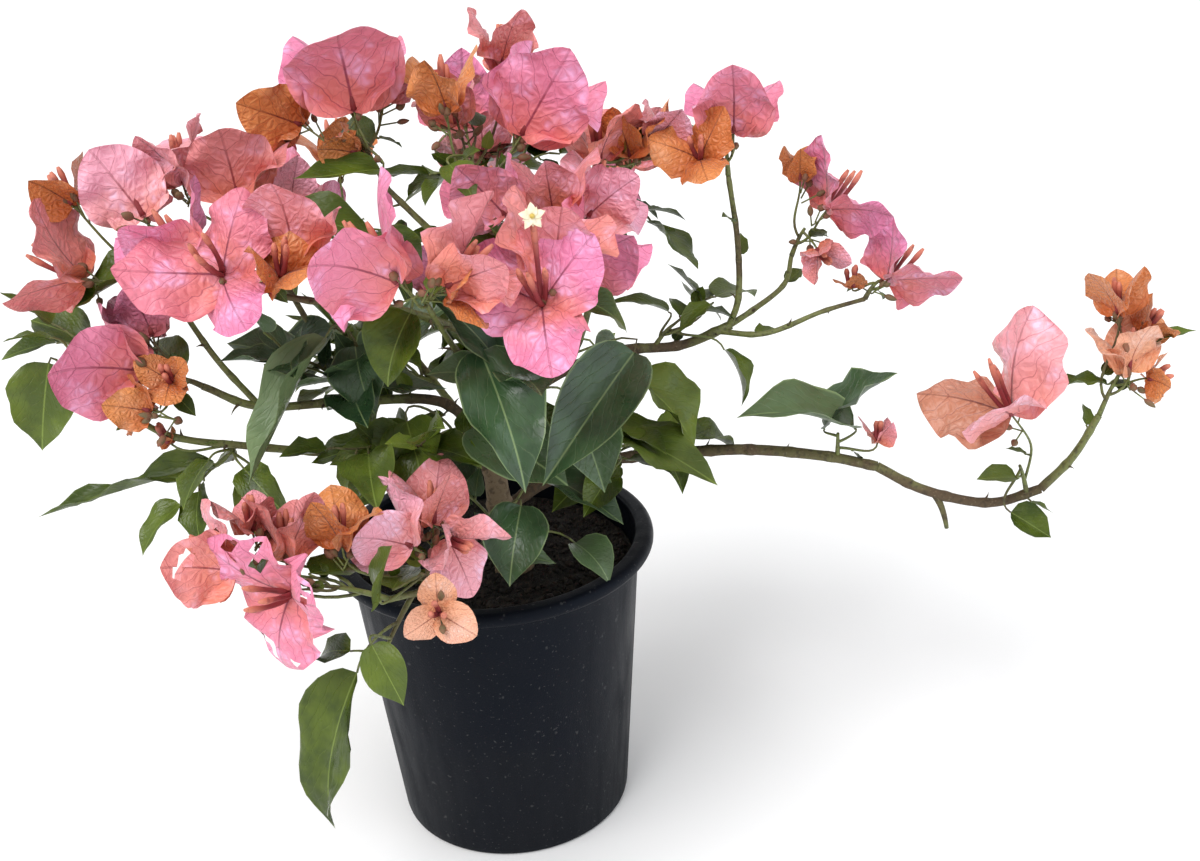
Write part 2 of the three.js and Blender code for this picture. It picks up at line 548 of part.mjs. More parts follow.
    leaves: [], sprays: 4 },
  { name: 'mass_back_low', on: 'bough_back_low', at: 1, centre: [-6, 104, 252], reach: 54,
    blooms: [
      { foot: [-22, 118, 258], aim: [110, 20], turn: 20, open: 40, size: 38, tint: 'pink' }],
    leaves: [], sprays: 7 },
  { name: 'mass_back_inner', on: 'bough_back_left', at: 0.35, centre: [-52, 28, 252], reach: 48,
    blooms: [], leaves: [], sprays: 7 },
];

for (const mass of MASSES) mass.middle = vec(mass.centre);

// The points a mass's space is drawn around, with the room each is given: the mass's middle, its
// stem, and a line of points out to and along each of its flower heads and larger leaves.
function roomPoints(mass) {
  const seat = seatOf(mass);
  const stem = STEM_PLACES.map((share) => [seat.clone().lerp(mass.middle, share), STEM_ROOM]);
  const heads = mass.blooms.map((bloom) => {
    const foot = vec(bloom.foot);
    return [foot, foot.clone().addScaledVector(heading(...bloom.aim), bloom.size), BLOOM_ROOM];
  });
  const leaves = mass.leaves.map((leaf) => [vec(leaf.foot), vec(leaf.tip), LEAF_ROOM]);
  const lines = [...heads, ...leaves].flatMap(([foot, tip, share]) => {
    const room = share * foot.distanceTo(tip);
    const way = WAY_PLACES.map((part) => [mass.middle.clone().lerp(foot, part), STEM_ROOM]);
    return [...way, ...TIP_PLACES.map((part) => [foot.clone().lerp(tip, part), room])];
  });
  const middle = [mass.middle, mass.reach * MIDDLE_ROOM];
  return [middle, ...stem, ...lines].map(([point, room]) => ({ mass, point, room }));
}

// How far a point is inside the mass's own space. The space is made of the power cells of the
// mass's own room points among those of all the masses.
function depthInside(mass, point) {
  const power = (place) => point.distanceToSquared(place.point) - place.room ** 2;
  let own = null;
  let least = Infinity;
  for (const place of mass.places) {
    const here = power(place);
    if (here < least) {
      own = place;
      least = here;
    }
  }
  let depth = Infinity;
  for (const place of allPlaces) {
    if (place.mass === mass) continue;
    const wall = (power(place) - least) / (2 * place.point.distanceTo(own.point));
    depth = Math.min(depth, wall);
  }
  return depth;
}

for (const mass of MASSES) mass.places = roomPoints(mass);
const allPlaces = MASSES.flatMap((mass) => mass.places);

const inside = (mass, points) => points.every((p) => depthInside(mass, p) > SPACE_GAP);

// ---- Shells: a mass is one closed skin, and what grows on it takes the place of a face ----

// Three points around a centre, turned so that the first lies towards the side.
function ringPoints(centre, along, side, radius) {
  const across = along.clone().cross(side);
  return [0, 1, 2].map((k) => {
    const turn = (2 * Math.PI * k) / TWIG_SIDES;
    return centre
      .clone()
      .addScaledVector(side, radius * Math.cos(turn))
      .addScaledVector(across, radius * Math.sin(turn));
  });
}

// A three-sided tube that carries on from a ring of the skin, or starts a new skin with none.
function tubeOn(points, ring, centres, radii, lastSide) {
  const fresh = [];
  const faces = [];
  const rings = [];
  let before = ring;
  let side = ring && points[ring[0]].clone().sub(points[ring[1]]).sub(points[ring[2]]);
  if (side) side.add(centres[0]);
  centres.forEach((centre, i) => {
    const ahead = centres[Math.min(i + 1, centres.length - 1)];
    const behind = centres[Math.max(i - 1, 0)];
    const along = ahead.clone().sub(behind).normalize();
    side = squareTo(side ?? UP, along);
    if (lastSide && i === centres.length - 1) side = nearestTurn(side, lastSide, along);
    const start = points.length + fresh.length;
    fresh.push(...ringPoints(centre, along, side, radii[i]));
    const here = [start, start + 1, start + 2];
    if (before) {
      for (let k = 0; k < TWIG_SIDES; k++) {
        const next = (k + 1) % TWIG_SIDES;
        faces.push([before[k], before[next], here[next]], [before[k], here[next], here[k]]);
      }
    } else {
      faces.push([here[0], here[2], here[1]]);
    }
    rings.push(here);
    before = here;
  });
  return { fresh, faces: [...faces, [...before]], rings };
}

// Of three directions a third of a turn apart, the one nearest to the side.
function nearestTurn(side, wanted, along) {
  const turns = [0, 120, 240].map((turn) => wanted.clone().applyAxisAngle(along, radians(turn)));
  return turns.reduce((a, b) => (b.dot(side) > a.dot(side) ? b : a));
}

function segmentMeetsFace(p, q, a, b, c) {
  const run = q.clone().sub(p);
  const ab = b.clone().sub(a);
  const ac = c.clone().sub(a);
  const normal = run.clone().cross(ac);
  const scale = ab.dot(normal);
  if (Math.abs(scale) < 1e-12) return false;
  const from = p.clone().sub(a);
  const u = from.dot(normal) / scale;
  const turned = from.cross(ab);
  const v = run.dot(turned) / scale;
  const t = ac.dot(turned) / scale;
  return u >= 0 && v >= 0 && u + v <= 1 && t >= 0 && t <= 1;
}

// Whether new faces cut through a skin. Faces that share a corner are neighbours and are passed over.
function crosses(points, faces, others) {
  const corners = (face) => face.map((i) => points[i]);
  const boxOf = (corners) => new THREE.Box3().setFromPoints(corners);
  const meets = (face, other) => {
    const [a, b, c] = corners(other);
    return [0, 1, 2].some((k) =>
      segmentMeetsFace(points[face[k]], points[face[(k + 1) % 3]], a, b, c),
    );
  };
  const apart = (face, other) => !face.some((i) => other.includes(i));
  const box = boxOf(faces.flatMap(corners));
  const near = others.filter((other) => box.intersectsBox(boxOf(corners(other))));
  return faces.some((face) =>
    near.some((other) => apart(face, other) && (meets(face, other) || meets(other, face))),
  );
}

// Puts new faces in place of one face of the skin, if they cut through nothing.
function sprout(skin, face, made) {
  const points = [...skin.points, ...made.fresh];
  const kept = skin.faces.filter((other) => other !== face);
  if (crosses(points, made.faces, kept)) return false;
  skin.points = points;
  skin.faces = [...kept, ...made.faces];
  return true;
}

const sameFace = (a, b) => a.every((corner) => b.includes(corner));
const faceOf = (skin, corners) => skin.faces.find((face) => sameFace(corners, face));

// ---- Blades: the one shape of leaves and bracts ----

// Half width, as a share of the full width, at two places along the rib.
const OUTLINE = {
  leaf: { places: [0.3, 0.68], halves: [0.5, 0.36] },
  bract: { places: [0.3, 0.68], halves: [0.48, 0.44] },
};

// A point of the blade: s along the rib, which bends away from the blade's face by the bend in
// all, and w across it, which lifts towards the face by the cup.
function bladePoint(blade, s, w) {
  const angle = blade.bend * s;
  const run = Math.sin(angle) / blade.bend;
  const drop = (1 - Math.cos(angle)) / blade.bend;
  const faceHere = blade.face.clone().multiplyScalar(Math.cos(angle));
  faceHere.addScaledVector(blade.along, Math.sin(angle));
  return blade.foot
    .clone()
    .addScaledVector(blade.along, blade.length * run)
    .addScaledVector(blade.face, -blade.length * drop)
    .addScaledVector(blade.side, w * Math.cos(blade.cup))
    .addScaledVector(faceHere, Math.abs(w) * Math.sin(blade.cup));
}

function makeBlade(kind, foot, along, face, length, form) {
  const width = length * form.wide;
  const side = along.clone().cross(face);
  const [bend, cup] = [radians(form.bend), radians(form.cup)];
  return { kind, foot, along, face, side, length, width, bend, cup };
}

// Points spread over the blade, to test that it keeps to its space and clear of the limbs.
function bladeSamples(blade) {
  const { places, halves } = OUTLINE[blade.kind];
  const points = [];
  for (let s = 0.2; s < 1.01; s += 0.1) {
    const half =
      s < places[0] ? (halves[0] * s) / places[0]
      : s < places[1] ? lerp(...halves, (s - places[0]) / (places[1] - places[0]))
      : (halves[1] * (1 - s)) / (1 - places[1]);
    for (const w of [-1, -0.5, 0, 0.5, 1]) points.push(bladePoint(blade, s, w * half * blade.width));
  }
  return points;
}

// The blade's faces, a thin lens on its outline that carries on from the corners of a face.
function bladeOn(points, root, blade) {
  const { places, halves } = OUTLINE[blade.kind];
  const edge = (i, sign) => bladePoint(blade, places[i], sign * halves[i] * blade.width);
  const middle = bladePoint(blade, BLADE_MIDDLE, 0);
  const half = (blade.length * BLADE_THICKNESS) / 2;
  const fresh = [
    edge(0, 1),
    edge(1, 1),
    bladePoint(blade, 1, 0),
    edge(1, -1),
    edge(0, -1),
    middle.clone().addScaledVector(blade.face, half),
    middle.clone().addScaledVector(blade.face, -half),
  ];
  const across = root.map((i) => points[i].dot(blade.side));
  const left = across.indexOf(Math.max(...across));
  const right = across.indexOf(Math.min(...across));
  const third = 3 - left - right;
  const [top, under] = [points.length + 5, points.length + 6];
  const rim = [root[left], ...[0, 1, 2, 3, 4].map((i) => points.length + i), root[right]];
  const faces = [];
  for (let i = 0; i < rim.length - 1; i++) {
    faces.push([rim[i], rim[i + 1], top], [rim[i + 1], rim[i], under]);
  }
  const thirdIsUnder = (right + 1) % 3 === left;
  if (thirdIsUnder) {
    faces.push([root[right], root[left], top]);
    faces.push([root[left], root[third], under], [root[third], root[right], under]);
  } else {
    faces.push([root[right], root[third], top], [root[third], root[left], top]);
    faces.push([root[left], root[right], under]);
  }
  return { fresh, faces };
}

// ---- The rule by which a mass grows ----

// Puts a blade in place of a face, tilted and made smaller until it has room, or not at all.
function growBlade(mass, corners, kind, foot, along, face, length, form) {
  const root = faceOf(mass.skin, corners);
  const side = along.clone().cross(face);
  const tries = SIZES_TRIED.flatMap((share) => TILTS_TRIED.map((tilt) => [share, radians(tilt)]));
  for (const [share, tilt] of root ? tries : []) {
    const [way, look] = [along, face].map((v) => v.clone().applyAxisAngle(side, tilt));
    const blade = makeBlade(kind, foot, way, look, length * share, form);
    const samples = bladeSamples(blade);
    if (!inside(mass, samples) || touchesLimb(samples)) continue;
    if (sprout(mass.skin, root, bladeOn(mass.skin.points, root, blade))) return;
  }
}

// The path of a twig that leaves the stem outwards and arrives in the given direction.
function twigPath(start, end, leave, arrive, curl) {
  const reach = start.distanceTo(end) * curl;
  return new THREE.CubicBezierCurve3(
    start,
    start.clone().addScaledVector(leave, reach),
    end.clone().addScaledVector(arrive, -reach),
    end,
  );
}

// A twig to the end, on the joint of the stem that is given or the next one that has room. It has
// joints of its own at the given shares of its length, and with knob a thicker tip turned that way.
function growTwig(mass, joint, end, arrive, joints, knob) {
  for (let step = 0; step < mass.joints.length; step++) {
    const seat = mass.joints[(joint + step) % mass.joints.length];
    const twig = twigFrom(mass, seat, end, arrive, joints, knob);
    if (twig) return twig;
  }
  return null;
}

function twigFrom(mass, seat, end, arrive, joints, knob) {
  const out = end.clone().sub(seat.centre);
  const leave = out.clone().normalize().add(squareTo(out, seat.along)).normalize();
  for (const curl of TWIG_CURLS) {
    const path = twigPath(seat.centre, end, leave, arrive, curl);
    const tests = path.getPoints(TWIG_TESTS);
    if (!inside(mass, tests) || touchesLimb(tests.slice(2))) continue;
    const half = Math.min(JOINT_LENGTH / 2 / path.getLength(), 0.1);
    const shares = [0.4, ...joints.flatMap((share) => [share - half, share + half]), 1];
    const places = joints.length ? shares.slice(1) : shares;
    const centres = places.map((share) => path.getPointAt(share));
    const radii = places.map((share) => lerp(TWIG_RADIUS, TWIG_TIP_RADIUS, share));
    if (knob) radii[radii.length - 1] = KNOB_RADIUS;
    for (const corners of seat.faces(out)) {
      const root = faceOf(mass.skin, corners);
      if (!root) continue;
      const made = tubeOn(mass.skin.points, root, centres, radii, knob);
      if (sprout(mass.skin, root, made)) return { path, rings: made.rings };
    }
  }
  return null;
}

// The small faces between the two rings of a joint, those that look most towards out first.
function jointFaces(points, ring, next, centre, out) {
  const faces = [];
  for (let k = 0; k < TWIG_SIDES; k++) {
    const after = (k + 1) % TWIG_SIDES;
    const middle = points[ring[k]].clone().add(points[ring[after]]).multiplyScalar(0.5);
    const looks = middle.sub(centre).normalize().dot(out);
    faces.push({ looks, corners: [ring[k], ring[after], next[after]] });
    faces.push({ looks, corners: [ring[k], next[after], next[k]] });
  }
  return faces.sort((a, b) => b.looks - a.looks).map((face) => face.corners);
}

// The twig of a flower head, with the three faces at its tip that the bracts grow on.
function headTwig(mass, bloom, joint) {
  const axis = heading(...bloom.aim);
  const foot = vec(bloom.foot);
  const front = squareTo(FRONT, axis).applyAxisAngle(axis, radians(bloom.turn));
  const corner = front.clone().applyAxisAngle(axis, radians(-60));
  const twig = growTwig(mass, joint, foot, axis, [], corner);
  if (!twig) return [];
  const knob = faceOf(mass.skin, twig.rings.at(-1));
  const apex = mass.skin.points.length;
  const fresh = [foot.clone().addScaledVector(axis, KNOB_RADIUS)];
  const faces = [0, 1, 2].map((k) => [knob[k], knob[(k + 1) % 3], apex]);
  return sprout(mass.skin, knob, { fresh, faces }) ? faces : [];
}

// A bract's lean and length, of its head's, and its bend.
function bractForm(draw) {
  const [lean, bend, share] = [lerp(0.7, 1, draw()), lerp(10, 45, draw()), lerp(0.8, 1.06, draw())];
  return { lean, share, bend, cup: BRACT_CUP, wide: BRACT_WIDTH };
}

// Three bracts around an axis, each facing it.
function growBracts(mass, bloom, seats, forms) {
  const axis = heading(...bloom.aim);
  const foot = vec(bloom.foot);
  seats.forEach((corners, k) => {
    const middle = mass.skin.points[corners[0]].clone().add(mass.skin.points[corners[1]]);
    const out = squareTo(middle.multiplyScalar(0.5).sub(foot), axis);
    const lean = radians(bloom.open * forms[k].lean);
    const along = axis.clone().multiplyScalar(Math.cos(lean)).addScaledVector(out, Math.sin(lean));
    const face = axis.clone().multiplyScalar(Math.sin(lean)).addScaledVector(out, -Math.cos(lean));
    growBlade(mass, corners, 'bract', foot, along, face, bloom.size * forms[k].share, forms[k]);
  });
}

// A leaf whose bent rib ends at the tip. Its face looks up and outwards.
function growLeaf(mass, corners, foot, tip, form) {
  const chord = tip.clone().sub(foot);
  const half = radians(form.bend / 2);
  const length = (chord.length() * half) / Math.sin(half);
  chord.normalize();
  const outward = foot.clone().setZ(0).setLength(LEAF_OUTWARD);
  const above = squareTo(UP.clone().add(outward), chord);
  const along = chord.clone().multiplyScalar(Math.cos(half)).addScaledVector(above, Math.sin(half));
  const face = above.multiplyScalar(Math.cos(half)).addScaledVector(chord, -Math.sin(half));
  growBlade(mass, corners, 'leaf', foot, along, face, length, form);
}

// A leaf's bend, its cup and its width, of its length.
function leafForm(draw, leaf) {
  const [bend, cup] = [lerp(15, 40, draw()), lerp(8, 22, draw())];
  return { bend, cup: leaf.fold ?? cup, wide: leaf.wide ?? LEAF_WIDTH };
}

// A leafy twig to a drawn point of the mass's space, with leaves to both sides and at its tip.
function growSpray(mass, joint, draw) {
  const [low, high] = SPRAY_RISE;
  const out = heading(360 * draw(), lerp(low, mass.blooms.length ? LOW_RISE : high, draw()));
  const end = mass.middle.clone().addScaledVector(out, mass.reach * lerp(...SPRAY_REACH, draw()));
  const sizes = SPRAY_LEAVES.map((leaf) => [
    lerp(...LEAF_LENGTH, draw()),
    LEAF_DROOP * draw(),
    leafForm(draw, leaf),
  ]);
  const joints = SPRAY_LEAVES.filter((leaf) => leaf.share < 1).map((leaf) => leaf.share);
  const twig = growTwig(mass, joint, end, out, joints, null);
  if (!twig) return;
  SPRAY_LEAVES.forEach(({ share, turn }, i) => {
    const [length, droop, form] = sizes[i];
    const foot = twig.path.getPointAt(share);
    const spin = twig.path.getTangentAt(share);
    const aside = squareTo(UP, spin).applyAxisAngle(spin, radians(turn));
    const along = turn ? spin.clone().multiplyScalar(0.6).add(aside) : spin.clone();
    along.normalize().setZ(along.z - droop).normalize();
    const tip = foot.clone().addScaledVector(along, length);
    const [ring, next] = [twig.rings[2 * i], twig.rings[2 * i + 1]];
    const corners = next
      ? jointFaces(mass.skin.points, ring, next, foot, along)[0]
      : twig.rings.at(-1);
    growLeaf(mass, corners, foot, tip, form);
  });
}

// Where on its bough the mass's stem stands.
function seatOf(mass) {
  const { path } = limbs.get(mass.on);
  return path[Math.round(mass.at * (path.length - 1))].centre;
}

// The mass's own stem, with a joint for each twig that it will carry, evenly spread.
function growStem(mass, count) {
  const seat = seatOf(mass);
  const end = seat.clone().lerp(mass.middle, STEM_SHARE);
  const over = seat.clone().lerp(end, 0.5).addScaledVector(UP, STEM_LIFT);
  const path = new THREE.QuadraticBezierCurve3(seat, over, end);
  const half = Math.min(JOINT_LENGTH / 2 / path.getLength(), 0.25 / count);
  const shares = Array.from({ length: count }, (_, i) => lerp(0.3, 0.98, (i + 0.5) / count));
  const places = [0, ...shares.flatMap((share) => [share - half, share + half]), 1];
  const centres = places.map((share) => path.getPointAt(share));
  const radii = places.map((share) => lerp(MASS_STEM_RADIUS, TWIG_RADIUS, share));
  const made = tubeOn([], null, centres, radii, null);
  mass.skin = { points: made.fresh, faces: made.faces };
  mass.joints = shares.map((share, i) => {
    const [ring, next] = [made.rings[2 * i + 1], made.rings[2 * i + 2]];
    const centre = path.getPointAt(share);
    const faces = (out) => jointFaces(mass.skin.points, ring, next, centre, out);
    return { centre, along: path.getTangentAt(share), faces };
  });
}

// A mass grows its stem, then the twigs of its heads and larger leaves, then their blades, then
// the leafy twigs that the rule adds.
function growMass(mass, seed) {
  const draw = draws(seed);
  const { blooms } = mass;
  growStem(mass, blooms.length + mass.leaves.length + mass.sprays);
  const forms = blooms.map(() => [0, 1, 2].map(() => bractForm(draw)));
  const leafForms = mass.leaves.map((leaf) => leafForm(draw, leaf));
  const ends = mass.leaves.map((leaf) => [vec(leaf.foot), vec(leaf.tip)]);
  const heads = blooms.map((bloom, i) => headTwig(mass, bloom, i));
  const stalks = ends.map(([foot, tip], i) =>
    growTwig(mass, heads.length + i, foot, tip.clone().sub(foot).normalize(), [], null),
  );
  blooms.forEach((bloom, i) => growBracts(mass, bloom, heads[i], forms[i]));
  stalks.forEach((twig, i) => {
    if (twig) growLeaf(mass, twig.rings.at(-1), ...ends[i], leafForms[i]);
  });
  for (let i = 0; i < mass.sprays; i++) growSpray(mass, heads.length + ends.length + i, draw);
  const whole = solidOf(shell(mass.skin.points, mass.skin.faces));
  const clear = [...limbs.values()].reduce((rest, other) => rest.subtract(other.grown), whole);
  return mainBody(clear);
}

// The colour that most of a mass shows: of its leaves, or of its largest flower head.
function mainTint(mass) {
  const squares = (lengths) => lengths.reduce((sum, length) => sum + length ** 2, 0);
  const named = mass.leaves.map((leaf) => vec(leaf.foot).distanceTo(vec(leaf.tip)));
  const added = Array(SPRAY_LEAVES.length * mass.sprays).fill(lerp(...LEAF_LENGTH, 0.5));
  const leafArea = LEAF_WIDTH * squares([...named, ...added]);
  const bractArea = 3 * BRACT_WIDTH * squares(mass.blooms.map((bloom) => bloom.size));
  if (leafArea > bractArea) return 'green';
  return mass.blooms.reduce((a, b) => (b.size > a.size ? b : a)).tint;
}

// ---- The pot and its soil ----

// A turned solid from the corners of its half section, which starts and ends on the axis.
function turned(corners) {
  const profile = corners.map(([radius, height]) => new THREE.Vector2(radius, height));
  return new THREE.LatheGeometry(profile, POT_SIDES).rotateX(Math.PI / 2);
}

const potRadius = (z) => lerp(POT_BASE_RADIUS, POT_BODY_TOP_RADIUS, z / (POT_HEIGHT - LIP_HEIGHT));

function pot() {
  const lipFoot = POT_HEIGHT - LIP_HEIGHT;
  return turned([
    [0, 0],
    [POT_BASE_RADIUS - POT_BASE_CHAMFER, 0],
    [potRadius(POT_BASE_CHAMFER), POT_BASE_CHAMFER],
    [POT_BODY_TOP_RADIUS, lipFoot],
    [POT_RIM_RADIUS - LIP_ROUND, lipFoot],
    [POT_RIM_RADIUS, lipFoot + LIP_ROUND],
    [POT_RIM_RADIUS, POT_HEIGHT - LIP_ROUND],
    [POT_RIM_RADIUS - LIP_ROUND, POT_HEIGHT],
    [POT_RIM_RADIUS - 3 * LIP_ROUND, POT_HEIGHT],
    [potRadius(POT_HEIGHT) - POT_WALL, POT_HEIGHT - LIP_ROUND],
    [potRadius(POT_FLOOR) - POT_WALL, POT_FLOOR],
    [0, POT_FLOOR],
  ]);
}

function soil() {
  const top = POT_HEIGHT - SOIL_BELOW_RIM;
  const foot = POT_FLOOR + GAP;
  return turned([
    [0, foot],
    [potRadius(foot) - POT_WALL - 2 * GAP, foot],
    [potRadius(top) - POT_WALL - 2 * GAP, top],
    [0, top],
  ]);
}

// ---- The plant in its pot ----

const plant = new THREE.Group();

function addPart(name, geometry, colour, roughness) {
  const material = new THREE.MeshStandardMaterial({ color: colour, roughness, metalness: 0 });
  const mesh = new THREE.Mesh(geometry, material);
  mesh.name = name;
  plant.add(mesh);
}

addPart('pot', pot(), '#20242c', 0.5);
addPart('soil', soil(), '#2a211a', 1);
for (const [name, limb] of limbs) {
  addPart(name, geometryOf(limb.solid), name === 'main_stem' ? BARK : GREEN_WOOD, 0.8);
}
MASSES.forEach((mass, i) => {
  addPart(mass.name, geometryOf(growMass(mass, FIRST_SEED + i)), FINISH[mainTint(mass)], 0.7);
});

export default plant;
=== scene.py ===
"""Looks of a flowering bougainvillea bush in a round nursery pot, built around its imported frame.

Leaves, bracts, twigs and flowers grow on from the limbs by the seeded rule of the solids. The
tables and the rule work in millimetres, and new_piece turns millimetres into Blender's metres.
"""

import math
from collections import namedtuple
from functools import lru_cache

import bpy
import numpy as np
from mathutils import Matrix
from bpy.props import FloatProperty, IntProperty, PointerProperty


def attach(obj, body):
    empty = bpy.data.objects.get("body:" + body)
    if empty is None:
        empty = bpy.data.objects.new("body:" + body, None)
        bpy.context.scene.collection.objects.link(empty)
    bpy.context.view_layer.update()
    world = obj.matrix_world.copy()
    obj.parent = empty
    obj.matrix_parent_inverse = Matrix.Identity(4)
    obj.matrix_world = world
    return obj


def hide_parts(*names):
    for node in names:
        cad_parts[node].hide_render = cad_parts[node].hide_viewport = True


bl_info = {
    "name": "Potted bougainvillea",
    "version": (1, 0, 0),
    "blender": (4, 5, 0),
    "location": "View3D > Sidebar > Plant",
    "description": "Grows a flowering bougainvillea in a nursery pot",
    "category": "Add Mesh",
}

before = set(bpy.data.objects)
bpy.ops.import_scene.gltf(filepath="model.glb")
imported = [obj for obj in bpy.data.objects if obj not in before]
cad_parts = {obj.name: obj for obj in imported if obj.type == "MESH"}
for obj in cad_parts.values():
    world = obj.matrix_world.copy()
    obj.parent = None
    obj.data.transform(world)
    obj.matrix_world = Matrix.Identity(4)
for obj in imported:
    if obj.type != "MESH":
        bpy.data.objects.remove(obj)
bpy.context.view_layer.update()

MM = 0.001  # metres in a millimetre
UP = np.array([0.0, 0.0, 1.0])
FRONT = np.array([0.0, -1.0, 0.0])

# Pot, soil and stem, in millimetres
POT_HEIGHT = 164
POT_RIM_RADIUS = 85
POT_BODY_TOP_RADIUS = 77
POT_BASE_RADIUS = 63
POT_WALL = 2.5
LIP_HEIGHT = 8
SOIL_TOP = 149
SOIL_GRID = (46, 120)  # points outwards and round
POT_SIDES = 144
STEM_FLARE = 3.5
STEM_FLARE_HEIGHT = 9

# Growth: lengths and radii in millimetres, angles in degrees
STEM_SHARE = 0.6  # a mass's own stem, of the way from its seat to its middle
STEM_LIFT = 3  # how far that stem arches up
STEM_RADII = (1.5, 0.8)
STEM_STEPS = 14
TWIG_RADII = (0.85, 0.5)
TWIG_STEPS = 10
TWIG_SIDES = 6
TWIG_CURL = 0.4  # how far a twig's ends run straight, of its length
PETIOLE_RADII = (0.7, 0.5)
BUD_STALK_RADII = (0.45, 0.4)
FIRST_NODE = 18  # how far along its bough
NODE_STEP = 21  # from one node to the next
LIMB_STEPS = 60
BRACTS_EACH = 3  # in a flower head
BRACT_CUP = -15  # a bract's sides bend away from the axis
BUDDED_SIZE = 18  # heads with longer bracts have buds
BUD_SCALE = 1.15
TUBE_SHARE = 0.58  # a flower tube's length, of its bract's
TUBE_STEPS = 9
TUBE_SIDES = 7
LEAF_WIDTH = 0.66
LEAF_LENGTH = (26, 52)
LEAF_DROOP = 0.35  # most that a leafy twig's leaf drops, of its length
LEAF_OUTWARD = 0.5  # how far a leaf's face turns from the sky towards the outside
SPRAY_REACH = (0.35, 0.75)  # of the mass's reach
SPRAY_RISE = (-35, 60)  # lowest and highest slope of a leafy twig
LOW_RISE = 5  # its highest slope in a mass with flowers
SPRAY_LEAVES = [(0.5, 100), (0.75, -100), (1, 0)]  # place along the twig, turn from the top
FINE_LEAVES = [(0.36, -80), (0.62, 60), (0.88, 120)]  # the small leaves that looks add to them

# Seeds: the first mass's, and one for each kind of piece
FIRST_SEED = 101
STEM_SEED, BOUGH_SEED, LEAF_SEED, BRACT_SEED, STAR_SEED, SOIL_SEED = 11, 12, 30, 40, 60, 70

# The open flower, the foot of its tube, and its petals, long ones and the short ones between
STAR = np.array([38.0, -124.0, 376.0])
STAR_FOOT = np.array([39.0, -117.0, 337.0])
STAR_AXIS = (0.1, -0.9, 0.42)
PETALS = 10
PETAL_LENGTHS = (6.2, 4.4)
PETAL_WIDTH = 0.62  # of its length

# A dead spur under the long right bough
SPUR = np.array([[233.0, -6.0, 174.5], [238.0, -7.0, 167.0], [240.0, -8.0, 154.0]])
SPUR_RADII = (2.4, 1.2)

# Tints of the bracts: near the tip, near the foot, the veins, and the pale painted highlight that
# is laid on in patches
BRACTS = {
    "pink": ((0.80, 0.24, 0.44), (0.74, 0.20, 0.18), (0.24, 0.02, 0.06), (0.92, 0.50, 0.80)),
    "salmon": ((0.80, 0.28, 0.31), (0.74, 0.21, 0.12), (0.26, 0.02, 0.03), (0.92, 0.48, 0.64)),
    "orange": ((0.74, 0.27, 0.08), (0.54, 0.13, 0.03), (0.18, 0.02, 0.01), (0.80, 0.38, 0.20)),
    "pale": ((0.84, 0.38, 0.50), (0.80, 0.30, 0.26), (0.32, 0.06, 0.08), (0.92, 0.62, 0.82)),
    "mauve": ((0.56, 0.17, 0.29), (0.48, 0.13, 0.13), (0.16, 0.02, 0.04), (0.66, 0.34, 0.54)),
    "rust": ((0.52, 0.21, 0.13), (0.42, 0.14, 0.07), (0.13, 0.02, 0.02), (0.62, 0.34, 0.26)),
    "peach": ((0.82, 0.42, 0.28), (0.74, 0.30, 0.14), (0.38, 0.08, 0.05), (0.88, 0.58, 0.50)),
}
# Tones of the leaves: blade, its shadowed blotches, midrib and margin, how much of the margin
# shows, and the gloss
LEAVES = {
    "teal": ((0.032, 0.080, 0.028), (0.013, 0.040, 0.014), (0.28, 0.38, 0.16), 0.6, 0.5),
    "olive": ((0.080, 0.118, 0.008), (0.026, 0.048, 0.004), (0.24, 0.32, 0.07), 0.15, 0.3),
    "sage": ((0.17, 0.24, 0.11), (0.12, 0.18, 0.08), (0.30, 0.38, 0.18), 0.15, 0.3),
    "lime": ((0.22, 0.30, 0.035), (0.13, 0.20, 0.022), (0.38, 0.44, 0.12), 0.15, 0.3),
}
# Barks: old and young, and the depth of their relief in metres
BARKS = {
    "bark": ((0.20, 0.145, 0.085), (0.26, 0.24, 0.09), 0.0012),
    "bough_bark": ((0.090, 0.060, 0.032), (0.15, 0.17, 0.045), 0.0005),
    "twig_bark": ((0.090, 0.060, 0.032), (0.15, 0.18, 0.045), 0.0003),
}
TEAL_MASSES = {"mass_centre_leaves", "mass_left_inner", "mass_right_low", "mass_centre_low"}
LIME_SHARE = 0.16  # of the small leaves
# A blade's widest place along its rib, the fall of its sides from there and its tip's sharpness
OUTLINES = {"bract": (0.42, 1.85, 0.70), "leaf": (0.38, 1.8, 1.25)}
# How far its foot turns back past the stalk, of its length
LOBES = {"bract": 0.12, "leaf": 0.05}
# The open flower's petals and heart, with the colour of their blotches
FLOWER_COLOURS = {
    "open_flower": ((0.86, 0.80, 0.62), (0.80, 0.70, 0.48)),
    "flower_heart": ((0.72, 0.50, 0.10), (0.55, 0.42, 0.08)),
}
# Points along and across a blade, for long ones and for those shorter than SHORT_BLADE
BLADE_GRIDS = {"bract": ((21, 13), (11, 9)), "leaf": ((17, 9), (9, 7))}
SHORT_BLADE = 30
LIMB_GRID = (90, 20)  # points along and round a limb

# Stage, in metres and degrees
FLOOR_HALF = 12.0
CROWN_MIDDLE = (0.03, -0.04, 0.27)
SUN_PLACE = (-0.9, -1.1, 2.2)
SUN_ANGLE = 40
FILL_PLACE = (1.7, -0.7, 0.9)
FILL_SIZE = 1.6
FILL_COLOUR = (0.80, 0.89, 1.0)
CAMERA_PLACE = (0.060, -0.748, 0.572)
CAMERA_PITCH = 25.2
CAMERA_ROLL = -3.62
CAMERA_LENS = 48  # in millimetres, as the sensor
CAMERA_SENSOR = 36

# ---- tables: places and lengths in millimetres, angles in degrees ----

